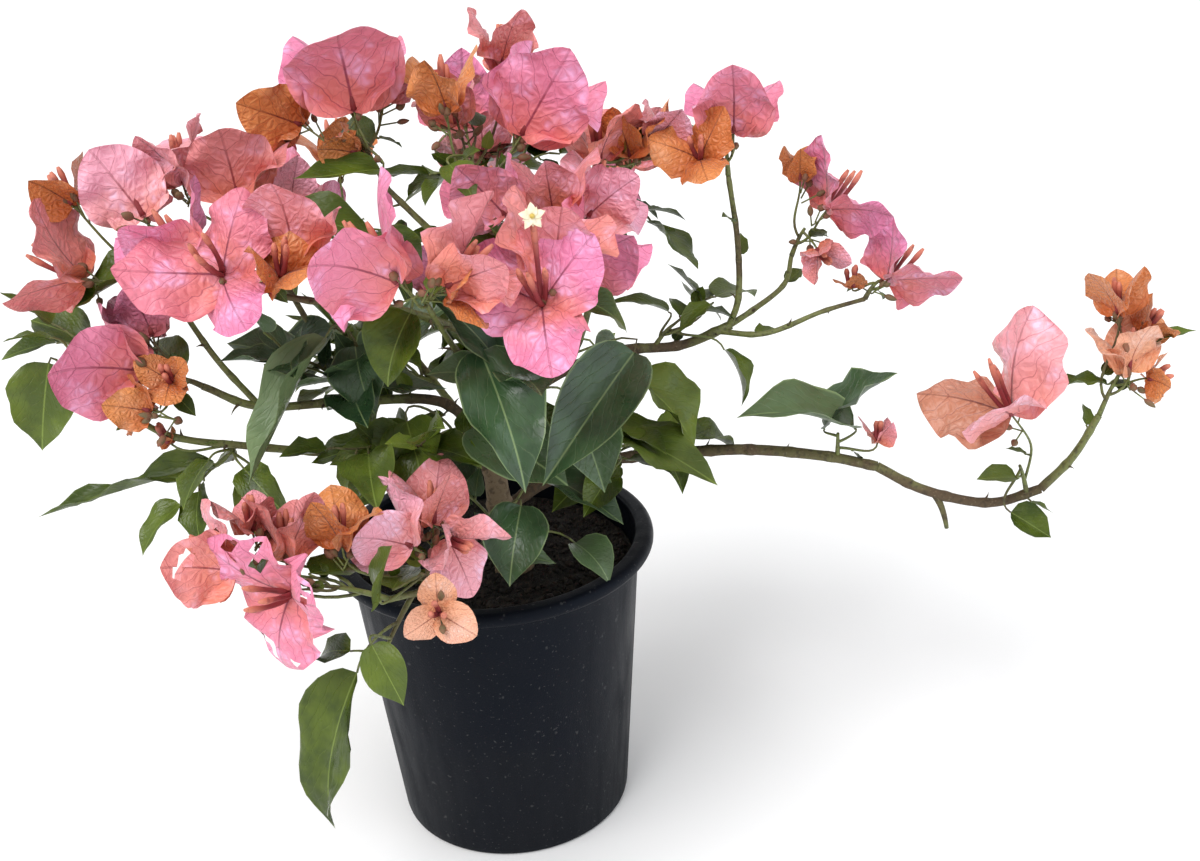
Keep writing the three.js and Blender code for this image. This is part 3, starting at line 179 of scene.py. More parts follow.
# Each limb has the limb that it grows from, its end radii and the points that it runs through.
Limb = namedtuple("Limb", "name on radii route")
LIMBS = [
    Limb("main_stem", None, (7.5, 5), [(10, -12, 149.3), (6, -12, 185), (3, -15, 228)]),
    Limb("bough_leader", "main_stem", (3.4, 1.9),
         [(3, -15, 228), (4, -28, 260), (5, -34, 300), (0, -38, 338), (5, -36, 352)]),
    Limb("bough_top_left", "bough_leader", (1.8, 1.3),
         [(1, -37, 330), (-14, -40, 348), (-30, -37, 366)]),
    Limb("bough_top_right", "bough_leader", (1.9, 1.4),
         [(4, -32, 285), (20, -14, 306), (42, 8, 328), (62, 24, 343)]),
    Limb("bough_middle_right", "bough_leader", (1.8, 1.3),
         [(5, -34, 302), (22, -40, 314), (38, -44, 330)]),
    Limb("bough_front_right", "bough_leader", (2.2, 1.4),
         [(4, -28, 262), (8, -58, 276), (20, -86, 300), (33, -106, 320)]),
    Limb("bough_front", "bough_front_right", (1.6, 1.2),
         [(8, -60, 277), (-2, -84, 304), (-8, -108, 330)]),
    Limb("bough_front_left", "bough_leader", (2.1, 1.4),
         [(4, -33, 290), (-26, -72, 320), (-54, -88, 331), (-76, -93, 338)]),
    Limb("bough_left_high", "main_stem", (2.8, 1.7),
         [(3, -15, 222), (-16, -33, 256), (-58, -45, 265), (-99, -58, 271), (-122, -65, 286)]),
    Limb("bough_left_crown", "bough_left_high", (1.6, 1.2),
         [(-99, -58, 271), (-118, -52, 296), (-136, -46, 330)]),
    Limb("bough_left_middle", "bough_left_high", (1.7, 1.2),
         [(-58, -45, 265), (-74, -33, 298), (-92, -27, 338)]),
    Limb("bough_left_low", "main_stem", (2.7, 1.3),
         [(5, -13, 208), (-20, -30, 227), (-60, -45, 237), (-108, -66, 255), (-141, -72, 266),
          (-168, -62, 282)]),
    Limb("bough_right_high", "main_stem", (3, 2.4),
         [(3, -15, 222), (24, 4, 241), (65, 28, 251), (105, 38, 249), (133, 40, 258)]),
    Limb("bough_right_upright", "bough_right_high", (1.8, 1.3),
         [(131, 40, 256), (137, 40, 274), (137, 40, 305), (133, 39, 340)]),
    Limb("bough_right_middle", "bough_right_high", (1.7, 1.2),
         [(129, 40, 256), (146, 46, 264), (162, 48, 276), (166, 47, 292)]),
    Limb("bough_right_outer", "bough_right_high", (1.6, 1.1),
         [(126, 39, 255), (150, 30, 256), (180, 33, 265), (203, 37, 269)]),
    Limb("bough_right_low", "main_stem", (3.3, 2.6),
         [(6, -12, 182), (27, 6, 188), (54, 18, 192), (80, 20, 194), (133, 12, 198), (175, 5, 195),
          (204, 0, 189)]),
    Limb("bough_right_low_outer", "bough_right_low", (2.6, 2.4),
         [(204, 0, 189), (226, -5, 177), (249, -8, 170), (267, -10, 169), (288, -10, 175)]),
    Limb("bough_right_low_tip", "bough_right_low_outer", (2.4, 1.8),
         [(288, -10, 175), (304, -8, 191), (318, -3, 212)]),
    Limb("bough_front_low", "main_stem", (2.2, 1.4),
         [(8, -12, 172), (0, -46, 184), (-8, -84, 193), (-20, -116, 201), (-38, -136, 208)]),
    Limb("bough_back", "bough_leader", (2.2, 1.4),
         [(4, -24, 250), (10, 10, 264), (12, 50, 290), (12, 84, 322)]),
    Limb("bough_back_left", "main_stem", (2.2, 1.4),
         [(5, -13, 214), (-18, 12, 238), (-48, 46, 270), (-72, 70, 306)]),
    Limb("bough_back_right", "bough_right_high", (2, 1.4),
         [(46, 18, 249), (56, 44, 264), (66, 70, 290), (74, 92, 312)]),
    Limb("bough_back_low", "main_stem", (2, 1.4),
         [(6, -12, 192), (8, 24, 208), (2, 62, 222), (-4, 100, 240)]),
]

# Each mass has the bough that it stands on and how far along, its middle and reach, the number of
# leafy twigs that the rule adds, its flower heads and its larger leaves.
Mass = namedtuple("Mass", "name on at centre reach sprays heads leaves")
# A flower head has its foot, the compass angle and height of its axis, its turn about that axis,
# the opening and length of its bracts, their tint, the holes in each and the last bract's tint.
Head = namedtuple("Head", "foot aim turn open size tint torn last", defaults=(0, None))
# A larger leaf has its foot and tip, its width, of its length, the angle that its sides are folded
# up by, the compass angle that it faces and its tone, where these aren't the rule's.
Leaf = namedtuple("Leaf", "foot tip wide fold face tone", defaults=(LEAF_WIDTH, None, None, None))
MASSES = [
    Mass("mass_far_left", "bough_left_crown", 1, (-158, -44, 354), 52, 0,
         [Head((-172, -40, 368), (150, 45), 0, 40, 27, "orange"),
          Head((-169, -54, 338), (176, 18), 90, 46, 42, "salmon"),
          Head((-140, -45, 362), (140, 50), 10, 30, 38, "pale")],
         [Leaf((-137, -52, 342), (-174, -56, 322), wide=0.75),
          Leaf((-150, -30, 352), (-162, -4, 350))]),
    Mass("mass_left_back", "bough_left_middle", 1, (-96, -18, 366), 46, 1,
         [Head((-124, -30, 372), (120, 78), 80, 22, 34, "pale"),
          Head((-100, -30, 362), (95, 72), 0, 28, 40, "salmon"),
          Head((-78, -24, 356), (85, 50), 20, 35, 26, "pale")], []),
    Mass("mass_left_front", "bough_front_left", 1, (-94, -92, 350), 50, 0,
         [Head((-97, -96, 350), (-110, 35), 10, 62, 46, "pink"),
          Head((-112, -82, 350), (155, 45), 0, 40, 46, "pink"),
          Head((-72, -98, 348), (-60, 60), 60, 35, 30, "orange"),
          Head((-66, -90, 354), (95, 60), 0, 35, 38, "salmon")], []),
    Mass("mass_left_blossom", "bough_left_high", 1, (-146, -74, 298), 40, 0,
         [Head((-145, -74, 299), (168, 20), 0, 25, 48, "pink"),
          Head((-142, -60, 310), (110, 60), 0, 30, 30, "mauve"),
          Head((-133, -76, 294), (-90, 40), 0, 50, 18, "orange"),
          Head((-141, -86, 284), (170, 20), 10, 35, 21, "orange")],
         [Leaf((-132, -58, 292), (-148, -32, 296))]),
    Mass("mass_left_tip", "bough_left_low", 1, (-188, -50, 298), 44, 0, [],
         [Leaf((-194, -54, 298), (-204, -60, 256), wide=0.8, face=-75),
          Leaf((-192, -45, 314), (-214, -45, 326)), Leaf((-190, -50, 306), (-214, -58, 302)),
          Leaf((-180, -40, 302), (-208, -24, 306), wide=0.8),
          Leaf((-190, -58, 312), (-206, -72, 316))]),
    Mass("mass_left_low", "bough_left_low", 0.66, (-120, -60, 246), 42, 1,
         [Head((-139, -74, 262), (160, 40), 0, 40, 9, "orange")],
         [Leaf((-122, -68, 246), (-212, -60, 216), wide=0.18, fold=40),
          Leaf((-122, -78, 254), (-132, -96, 238), wide=0.8),
          Leaf((-106, -80, 250), (-88, -98, 236)), Leaf((-118, -50, 240), (-132, -26, 222)),
          Leaf((-104, -66, 240), (-92, -78, 206), wide=0.8)]),
    Mass("mass_left_inner", "bough_left_high", 0.48, (-72, -62, 282), 44, 4, [],
         [Leaf((-60, -80, 312), (-88, -108, 254), wide=0.45, fold=46, tone="sage"),
          Leaf((-62, -44, 302), (-92, -48, 262), wide=0.85),
          Leaf((-50, -62, 300), (-44, -78, 270), wide=0.8),
          Leaf((-84, -60, 292), (-112, -70, 300)), Leaf((-62, -46, 280), (-74, -18, 268))]),
    Mass("mass_top_left", "bough_top_left", 1, (-52, -14, 404), 48, 0,
         [Head((-70, -6, 390), (170, 32), 0, 35, 33, "orange"),
          Head((-42, -32, 382), (165, 22), 0, 35, 22, "orange"),
          Head((-42, -28, 400), (100, 74), 0, 28, 52, "pink"),
          Head((-30, -10, 400), (40, 66), 20, 25, 26, "pale")],
         [Leaf((-32, -40, 376), (-66, -56, 372)), Leaf((-40, -2, 378), (-56, 22, 384))]),
    Mass("mass_top", "bough_leader", 1, (14, -14, 400), 50, 0,
         [Head((32, -20, 382), (30, 48), -10, 30, 52, "pink"),
          Head((0, -30, 398), (100, 78), -15, 26, 38, "orange"),
          Head((24, 14, 406), (80, 80), 40, 20, 32, "salmon"),
          Head((2, 0, 384), (130, 60), 0, 30, 34, "salmon")],
         [Leaf((0, -46, 378), (12, -66, 368)), Leaf((8, 6, 382), (-4, 34, 392))]),
    Mass("mass_top_right", "bough_top_right", 1, (78, 34, 362), 44, 1,
         [Head((68, 34, 352), (95, 76), 50, 30, 38, "salmon"),
          Head((84, 38, 352), (70, 70), 80, 28, 34, "orange"),
          Head((98, 40, 360), (20, 55), 0, 40, 27, "pale")], []),
    Mass("mass_middle_right", "bough_middle_right", 1, (46, -46, 346), 44, 1,
         [Head((45, -44, 350), (100, 68), 0, 26, 42, "salmon"),
          Head((60, -36, 346), (25, 42), 0, 35, 42, "pale"),
          Head((24, -52, 354), (140, 48), 0, 32, 38, "pink"),
          Head((52, -58, 330), (10, 35), 0, 32, 42, "pink")],
         [Leaf((30, -40, 326), (14, -60, 352))]),
    Mass("mass_front", "bough_front", 1, (-16, -122, 352), 46, 0,
         [Head((-18, -128, 352), (160, 40), -15, 32, 50, "pink"),
          Head((0, -124, 348), (5, 30), 0, 32, 42, "salmon"),
          Head((4, -120, 344), (-30, 10), 60, 45, 26, "orange")],
         [Leaf((-18, -104, 330), (-32, -114, 300), wide=0.9)]),
    Mass("mass_front_right", "bough_front_right", 1, (42, -114, 340), 46, 0,
         [Head((39, -116, 335), (-100, 45), 0, 60, 46, "pink"),
          Head((44, -108, 342), (70, 62), 0, 28, 44, "salmon")],
         [Leaf((54, -98, 330), (78, -92, 312))]),
    Mass("mass_centre_leaves", "bough_front_right", 0.45, (34, -92, 274), 46, 1, [],
         [Leaf((10, -98, 308), (29, -138, 258), wide=0.6),
          Leaf((78, -62, 288), (34, -112, 246), wide=0.5),
          Leaf((2, -76, 262), (44, -100, 240), wide=0.8),
          Leaf((60, -46, 286), (70, -30, 256), wide=0.8),
          Leaf((48, -58, 262), (58, -80, 226), wide=0.8)]),
    Mass("mass_centre_inner", "bough_left_high", 0.12, (-32, -70, 244), 58, 3, [],
         [Leaf((-22, -56, 246), (-62, -64, 214), wide=0.9),
          Leaf((-30, -66, 262), (-20, -92, 236), wide=0.8),
          Leaf((-36, -44, 244), (-50, -16, 226), wide=0.8)]),
    Mass("mass_centre_low", "bough_front_low", 0.3, (18, -62, 206), 52, 1, [],
         [Leaf((36, -48, 218), (66, -66, 198), wide=0.8),
          Leaf((0, -76, 196), (34, -66, 180), wide=0.6),
          Leaf((20, -70, 216), (12, -98, 188), wide=0.8),
          Leaf((44, -42, 178), (62, -60, 166), wide=0.9)]),
    Mass("mass_right_inner", "bough_right_low", 0.28, (84, -14, 224), 56, 2, [],
         [Leaf((78, -8, 252), (112, -24, 220), wide=0.95),
          Leaf((62, -22, 232), (112, -50, 206), wide=0.62),
          Leaf((72, -26, 226), (92, -46, 228), wide=0.8),
          Leaf((74, 6, 230), (50, 16, 210), wide=0.8)]),
    Mass("mass_front_low_left", "bough_front_low", 1, (-88, -150, 232), 50, 0,
         [Head((-99, -150, 235), (170, 22), 0, 30, 42, "salmon", torn=3),
          Head((-94, -132, 244), (100, 74), 60, 30, 25, "salmon"),
          Head((-80, -138, 232), (80, 60), 55, 32, 35, "salmon"),
          Head((-76, -156, 226), (-125, 0), 20, 56, 42, "pink", torn=3)],
         [Leaf((-70, -140, 226), (-52, -120, 214)), Leaf((-90, -136, 222), (-104, -112, 214))]),
    Mass("mass_front_low", "bough_front_low", 0.8, (-26, -138, 226), 46, 0,
         [Head((-56, -132, 234), (80, 78), 80, 25, 30, "orange"),
          Head((-26, -124, 227), (165, 32), 0, 36, 36, "pale"),
          Head((-18, -110, 230), (80, 70), 45, 22, 33, "salmon"),
          Head((-12, -112, 224), (-50, -20), 0, 40, 30, "pale"),
          Head((-15, -150, 208), (-90, 20), 180, 72, 20, "peach")],
         [Leaf((-40, -146, 214), (-27, -160, 247)), Leaf((-36, -134, 212), (-30, -106, 206))]),
    Mass("mass_front_hanging", "bough_front_low", 0.9, (-56, -150, 160), 50, 0, [],
         [Leaf((-54, -150, 180), (-78, -150, 92), wide=0.4, fold=30),
          Leaf((-45, -155, 197), (-33, -165, 171)), Leaf((-56, -148, 190), (-74, -132, 178))]),
    Mass("mass_right_pink", "bough_right_upright", 1, (132, 40, 364), 44, 0,
         [Head((136, 36, 362), (60, 76), -12, 36, 45, "pink"),
          Head((118, 26, 353), (-110, 48), 0, 58, 27, "orange")], []),
    Mass("mass_right_middle", "bough_right_middle", 1, (178, 48, 316), 42, 0,
         [Head((184, 45, 316), (20, 38), -80, 50, 40, "pink"),
          Head((171, 50, 331), (100, 80), 0, 24, 20, "orange"),
          Head((178, 38, 298), (-70, -30), 0, 40, 22, "salmon")], []),
    Mass("mass_right_outer", "bough_right_outer", 1, (216, 40, 284), 40, 0,
         [Head((215, 40, 277), (15, 34), -80, 48, 38, "pink"),
          Head((196, 36, 276), (90, 70), 20, 60, 12, "orange")], []),
    Mass("mass_right_high", "bough_right_high", 0.72, (110, 42, 268), 40, 1, [],
         [Leaf((100, 44, 266), (68, 50, 271)), Leaf((122, 36, 272), (104, 28, 260)),
          Leaf((118, 46, 270), (100, 56, 288)), Leaf((128, 30, 248), (138, 14, 222))]),
    Mass("mass_right_low", "bough_right_low", 0.9, (184, 4, 218), 44, 0,
         [Head((204, 0, 203), (70, 60), 20, 35, 17, "salmon")],
         [Leaf((192, 2, 211), (130, -6, 228), wide=0.7),
          Leaf((178, 10, 208), (216, 8, 238), wide=0.9)]),
    Mass("mass_right_low_blossom", "bough_right_low_outer", 0.92, (268, -28, 210), 48, 0,
         [Head((264, -34, 230), (180, 55), -10, 44, 57, "pale", last="rust")],
         [Leaf((272, -20, 188), (249, -28, 191)),
          Leaf((271, -17, 166), (290, -24, 153), wide=0.9, face=-90)]),
    Mass("mass_right_tip", "bough_right_low_tip", 1, (334, 0, 250), 44, 0,
         [Head((325, 0, 266), (120, 76), 40, 18, 30, "orange"),
          Head((331, -4, 236), (115, 76), 25, 22, 35, "peach"),
          Head((339, 4, 254), (15, 35), 30, 35, 23, "orange"),
          Head((342, 0, 230), (-10, 5), 0, 50, 19, "orange")],
         [Leaf((322, 0, 228), (292, 0, 231), wide=0.45),
          Leaf((341, 4, 247), (368, 5, 253), wide=0.4)]),
    Mass("mass_back", "bough_back", 1, (12, 84, 342), 54, 4,
         [Head((0, 80, 362), (110, 65), 20, 35, 42, "pink"),
          Head((32, 92, 350), (60, 45), 0, 35, 38, "salmon"),
          Head((6, 108, 338), (100, 15), 40, 45, 40, "pale")], []),
    Mass("mass_back_left", "bough_back_left", 1, (-76, 70, 322), 54, 4,
         [Head((-96, 62, 338), (150, 45), 0, 35, 40, "pink"),
          Head((-70, 84, 344), (100, 60), 30, 32, 40, "orange"),
          Head((-86, 90, 314), (120, 5), 50, 45, 38, "pink")], []),
    Mass("mass_back_right", "bough_back_right", 1, (78, 96, 318), 50, 2,
         [Head((86, 100, 330), (60, 55), 10, 35, 38, "salmon"),
          Head((72, 116, 312), (90, 10), 30, 42, 36, "pink")], []),
    Mass("mass_back_low", "bough_back_low", 1, (-6, 104, 252), 54, 7,
         [Head((-22, 118, 258), (110, 20), 20, 40, 38, "pink")], []),
    Mass("mass_back_inner", "bough_back_left", 0.35, (-52, 28, 252), 48, 7, [], []),
]

# ---- small helpers ----


def unit(v):
    """v at length 1 along its last axis."""
    return v / np.linalg.norm(v, axis=-1, keepdims=True)


def lerp(a, b, share):
    """The value at a share of the way from a to b."""
    return a + (b - a) * share


def square_to(a, b):
    """The part of a that stands square to the unit vector b, at length 1."""
    out = a - np.sum(a * b, axis=-1, keepdims=True) * b
    return unit(out)


def heading(azimuth, elevation):
    """The direction with this compass angle, from +X towards +Y, and height above the level."""
    a, e = math.radians(azimuth), math.radians(elevation)
    return np.array([math.cos(e) * math.cos(a), math.cos(e) * math.sin(a), math.sin(e)])


def turned(v, axis, degrees):
    """v turned about a unit axis."""
    a = math.radians(degrees)
    return v * math.cos(a) + np.cross(axis, v) * math.sin(a) + axis * (axis @ v) * (1 - math.cos(a))


def imul(a, b):
    """The low 32 bits of a product."""
    return (a * b) & 0xFFFFFFFF


def draws(seed):
    """A repeatable row of numbers between 0 and 1, the same as the solids draw."""
    state = seed

    def draw():
        nonlocal state
        state = (state + 0x6D2B79F5) & 0xFFFFFFFF
        t = imul(state ^ (state >> 15), state | 1)
        t ^= (t + imul(t ^ (t >> 7), t | 61)) & 0xFFFFFFFF
        return (t ^ (t >> 14)) / 4294967296

    return draw


def evenly(points, count):
    """count + 1 points at equal distances along a polyline."""
    steps = np.linalg.norm(np.diff(points, axis=0), axis=1)
    run = np.concatenate([[0], np.cumsum(steps)])
    places = np.linspace(0, run[-1], count + 1)
    return np.stack([np.interp(places, run, points[:, k]) for k in range(3)], axis=1)


def bezier(corners, count):
    """count + 1 even points of the Bezier curve on three or four corners."""
    t = np.linspace(0, 1, 41)[:, None]
    degree = len(corners) - 1
    shares = [math.comb(degree, k) * t**k * (1 - t) ** (degree - k) for k in range(degree + 1)]
    return evenly(sum(share * corner for share, corner in zip(shares, corners)), count)


def limb_path(limb, count):
    """count + 1 even points on the uniform Catmull-Rom curve through the limb's route."""
    p = np.array(limb.route, float)
    p = np.vstack([2 * p[0] - p[1], p, 2 * p[-1] - p[-2]])
    t = np.linspace(0, len(p) - 3, 40 * (len(p) - 3) + 1)
    i = np.minimum(t.astype(int), len(p) - 4)
    f = (t - i)[:, None]
    a, b, c, d = p[i], p[i + 1], p[i + 2], p[i + 3]
    m, n = (c - a) / 2, (d - b) / 2
    curve = (2 * f**3 - 3 * f**2 + 1) * b + (f**3 - 2 * f**2 + f) * m
    curve += (3 * f**2 - 2 * f**3) * c + (f**3 - f**2) * n
    return evenly(curve, count)


# ---- the growth rule ----


class Growth:
    """Everything the rule has grown: paths of twigs and tubes, and one row for each blade."""

    def __init__(self):
        self.twigs = []
        self.tubes = []
        self.buds = []
        self.thorns = []
        self.leaves = {tone: [] for tone in LEAVES}
        self.bracts = {tint: [] for tint in BRACTS}


def leaf_row(foot, tip, form, outward=None):
    """A leaf whose bent rib ends at the tip: the chord turned up by half the bend.

    Its face looks up and outwards, from the stem unless the direction is given.
    """
    outward = unit(foot * [1, 1, 0]) if outward is None else outward
    bend, cup, width = form
    chord = tip - foot
    half = math.radians(bend / 2)
    length = np.linalg.norm(chord) * half / math.sin(half)
    chord = unit(chord)
    above = square_to(UP + outward * LEAF_OUTWARD, chord)
    along = chord * math.cos(half) + above * math.sin(half)
    face = above * math.cos(half) - chord * math.sin(half)
    return [*foot, *along, *face, length, length * width, math.radians(bend), math.radians(cup), 0]


def straight(start, end):
    """A stalk's points, as many as a twig has."""
    return np.linspace(start, end, TWIG_STEPS + 1)


def grow_twig(growth, stem, share, end, arrive):
    """A twig from a share of the mass's stem, outwards at first, that arrives in a direction."""
    index = share * (len(stem) - 1)
    low = min(int(index), len(stem) - 2)
    start = lerp(stem[low], stem[low + 1], index - low)
    along = unit(stem[low + 1] - stem[low])
    out = end - start
    leave = unit(unit(out) + square_to(out, along))
    reach = np.linalg.norm(end - start) * TWIG_CURL
    path = bezier([start, start + leave * reach, end - arrive * reach, end], TWIG_STEPS)
    growth.twigs.append((path, TWIG_RADII))
    return path


def grow_buds(growth, foot, axis, noise):
    """A cluster of small buds on short stalks round a twig's tip."""
    for _ in range(noise.integers(3, 7)):
        way = unit(axis * 0.7 + noise.normal(0, 0.55, 3))
        start = foot - axis * noise.uniform(3, 12)
        end = start + way * noise.uniform(4, 8) * BUD_SCALE
        growth.twigs.append((straight(start, end), BUD_STALK_RADII))
        length = noise.uniform(3.6, 6.6) * BUD_SCALE
        growth.buds.append([*end, *way, length, noise.uniform(1.2, 1.9) * BUD_SCALE])


def grow_head(growth, head, forms, noise):
    """Three bracts round an axis, each facing it, and a flower tube on each bract's midrib."""
    axis = heading(*head.aim)
    foot = np.array(head.foot, float)
    front = turned(square_to(FRONT, axis), axis, head.turn)
    tints = [head.tint] * (BRACTS_EACH - 1) + [head.last or head.tint]
    for k, (share, bend, length) in enumerate(forms):
        out = turned(front, axis, 360 // BRACTS_EACH * k)
        lean = math.radians(head.open * share)
        along = axis * math.cos(lean) + out * math.sin(lean)
        face = axis * math.sin(lean) - out * math.cos(lean)
        length *= head.size
        width = length * noise.uniform(0.84, 1.06)
        bend, cup = math.radians(bend), math.radians(BRACT_CUP + noise.normal(0, 10))
        growth.bracts[tints[k]].append([*foot, *along, *face, length, width, bend, cup, head.torn])
        grow_tube(growth, foot, axis, along, head.size, noise)
    if head.size > BUDDED_SIZE:
        grow_buds(growth, foot, axis, noise)


def grow_tube(growth, foot, axis, along, size, noise):
    """A straight flower tube that stands out between its bract and the axis, a little upwards."""
    length = max(TUBE_SHARE * size, 11) * noise.uniform(0.85, 1.15)
    rise = unit(axis + UP * 0.5 + along * 0.35 + noise.normal(0, 0.10, 3))
    start = foot + along * 1.2
    end = start + rise * length
    over = start + unit(along + rise) * length * 0.3
    growth.tubes.append(bezier([start, over, end], TUBE_STEPS))


def grow_spray(growth, mass, stem, share, draw, noise, tone):
    """A leafy twig to a drawn point of the mass's reach, with small leaves between larger ones."""
    low, high = SPRAY_RISE
    high = LOW_RISE if mass.heads else high
    out = heading(360 * draw(), lerp(low, high, draw()))
    end = np.array(mass.centre) + out * mass.reach * lerp(*SPRAY_REACH, draw())
    sizes = [
        (lerp(*LEAF_LENGTH, draw()), LEAF_DROOP * draw(), leaf_form(draw)) for _ in SPRAY_LEAVES
    ]
    path = grow_twig(growth, stem, share, end, out)
    for (place, turn), (length, droop, form) in zip(SPRAY_LEAVES, sizes):
        grow_side_leaf(growth, path, place, turn, length, droop, form, tone)
    for place, turn in FINE_LEAVES:
        form = (noise.uniform(15, 50), noise.uniform(8, 24), LEAF_WIDTH)
        young = "lime" if noise.random() < LIME_SHARE else tone
        length = noise.uniform(10, 24)
        turn = turn + noise.uniform(-90, 90)
        grow_side_leaf(growth, path, place, turn, length, noise.uniform(-0.2, 0.6), form, young)


def grow_side_leaf(growth, path, place, turn, length, droop, form, tone):
    """A leaf at a place along a twig, turned round it from the top, on a short petiole."""
    low = min(int(place * (len(path) - 1)), len(path) - 2)
    foot = path[low] if place < 1 else path[-1]
    spin = unit(path[low + 1] - path[low])
    along = spin
    if turn:
        along = unit(spin * 0.6 + turned(square_to(UP, spin), spin, turn))
    along = unit(along - np.array([0, 0, droop]))
    stalk = foot + along * min(6, 0.14 * length)
    growth.twigs.append((straight(foot, stalk), PETIOLE_RADII))
    growth.leaves[tone].append(leaf_row(stalk, foot + along * length, form))


def leaf_form(draw, wide=LEAF_WIDTH, fold=None):
    """The leaf's bend and cup, in degrees, and its width, of its length."""
    bend, cup = lerp(15, 40, draw()), lerp(12, 30, draw())
    return bend, cup if fold is None else fold, wide


def bract_form(draw):
    """A bract's lean, of its head's, its bend in degrees, and its length, of its head's."""
    return lerp(0.7, 1, draw()), lerp(10, 45, draw()), lerp(0.8, 1.06, draw())


def grow_mass(growth, mass, seed, limbs):
    """The mass's stem, the twigs of its heads and larger leaves, and its leafy twigs."""
    draw = draws(seed)
    noise = np.random.default_rng(seed)
    path = limbs[mass.on]
    seat = path[round(mass.at * (len(path) - 1))]
    end = lerp(seat, np.array(mass.centre, float), STEM_SHARE)
    over = lerp(seat, end, 0.5) + UP * STEM_LIFT
    stem = bezier([seat, over, end], STEM_STEPS)
    kept = np.round(straight(0, STEM_STEPS)).astype(int)
    growth.twigs.append((stem[kept], STEM_RADII))
    forms = [[bract_form(draw) for _ in range(BRACTS_EACH)] for _ in mass.heads]
    leaf_forms = [leaf_form(draw, leaf.wide, leaf.fold) for leaf in mass.leaves]
    count = len(forms) + len(leaf_forms) + mass.sprays
    shares = [lerp(0.3, 0.98, (i + 0.5) / count) for i in range(count)]
    tone = "teal" if mass.name in TEAL_MASSES else "olive"
    for i, head in enumerate(mass.heads):
        axis = heading(*head.aim)
        twig = grow_twig(growth, stem, shares[i], np.array(head.foot, float), axis)
        grow_head(growth, head, forms[i], noise)
        young = "lime" if noise.random() < 2 * LIME_SHARE else "olive"
        form = (noise.uniform(15, 40), noise.uniform(8, 22), LEAF_WIDTH)
        if noise.random() < 0.5:
            turn = noise.uniform(-150, 150)
            grow_side_leaf(growth, twig, 0.3, turn, noise.uniform(9, 17), 0.3, form, young)
    for i, leaf in enumerate(mass.leaves):
        foot, tip = np.array(leaf.foot, float), np.array(leaf.tip, float)
        grow_twig(growth, stem, shares[len(forms) + i], foot, unit(tip - foot))
        outward = None if leaf.face is None else heading(leaf.face, 0)
        growth.leaves[leaf.tone or tone].append(leaf_row(foot, tip, leaf_forms[i], outward))
    for share in shares[len(forms) + len(leaf_forms) :]:
        grow_spray(growth, mass, stem, share, draw, noise, tone)


def grow_nodes(growth, limb, path, noise):
    """Thorns and small leaves at the nodes of a bough, turned about half way round each time."""
    length = np.linalg.norm(np.diff(path, axis=0), axis=1).sum()
    turn = noise.uniform(0, 360)
    for place in np.arange(FIRST_NODE, length - 6, NODE_STEP):
        low = int(place / length * (len(path) - 1))
        spin = unit(path[low + 1] - path[low])
        turn += noise.uniform(110, 200)
        aside = turned(square_to(UP, spin), spin, turn)
        radius = lerp(*limb.radii, place / length)
        foot = path[low] + aside * radius * 0.6
        if noise.random() < 0.6:
            end = foot + unit(aside + spin * 0.35) * noise.uniform(4, 9)
            growth.thorns.append(bezier([foot, lerp(foot, end, 0.5) + spin, end], 5))
        else:
            size = noise.uniform(9, 21)
            form = (noise.uniform(15, 45), noise.uniform(8, 24), LEAF_WIDTH)
            young = "lime" if noise.random() < 2 * LIME_SHARE else "olive"
            way = unit(aside + spin * 0.7)
            growth.twigs.append((straight(path[low], foot + way * 4), PETIOLE_RADII))
            growth.leaves[young].append(leaf_row(foot + way * 4, foot + way * size, form))


@lru_cache
def grown():
    """The whole plant, grown once and kept."""
    growth = Growth()
    limbs = {limb.name: limb_path(limb, LIMB_STEPS) for limb in LIMBS}
    for i, mass in enumerate(MASSES):
        grow_mass(growth, mass, FIRST_SEED + i, limbs)
    noise = np.random.default_rng(FIRST_SEED - 1)
    for limb in LIMBS[1:]:
        grow_nodes(growth, limb, limbs[limb.name], noise)
    growth.twigs.append((bezier(SPUR, TWIG_STEPS), SPUR_RADII))
    return growth


# ---- surfaces: arrays of points and the faces between them ----


def grid_faces(count, rows, cols, wrap):
    """Quads of count grids of rows by cols points, the last column joined to the first by wrap."""
    r = np.arange(rows - 1)[:, None] * cols
    c = np.arange(cols if wrap else cols - 1)[None, :]
    after = (c + 1) % cols
    quads = np.stack([r + c, r + after, r + after + cols, r + c + cols], axis=-1).reshape(-1, 4)
    return (quads[None] + (np.arange(count) * rows * cols)[:, None, None]).reshape(-1, 4)


def end_faces(count, rows, cols):
    """Triangles that close both ends of count wrapped grids."""
    k = np.arange(1, cols - 1)
    first = np.stack([0 * k, k + 1, k], axis=-1)
    last = np.stack([0 * k, k, k + 1], axis=-1) + (rows - 1) * cols
    both = np.concatenate([first, last])
    return (both[None] + (np.arange(count) * rows * cols)[:, None, None]).reshape(-1, 3)


def tube_faces(count, rows, sides):
    """The faces of count closed tubes."""
    return [grid_faces(count, rows, sides, True), end_faces(count, rows, sides)]


def path_frames(paths):
    """Each path's tangents and two directions square to them, from the axis least along it."""
    along = unit(np.gradient(paths, axis=1))
    lean = np.abs(along).max(axis=1)
    axes = np.eye(3)[lean.argmin(axis=1)][:, None, :]
    side = square_to(np.broadcast_to(axes, along.shape), along)
    return along, side, np.cross(along, side)


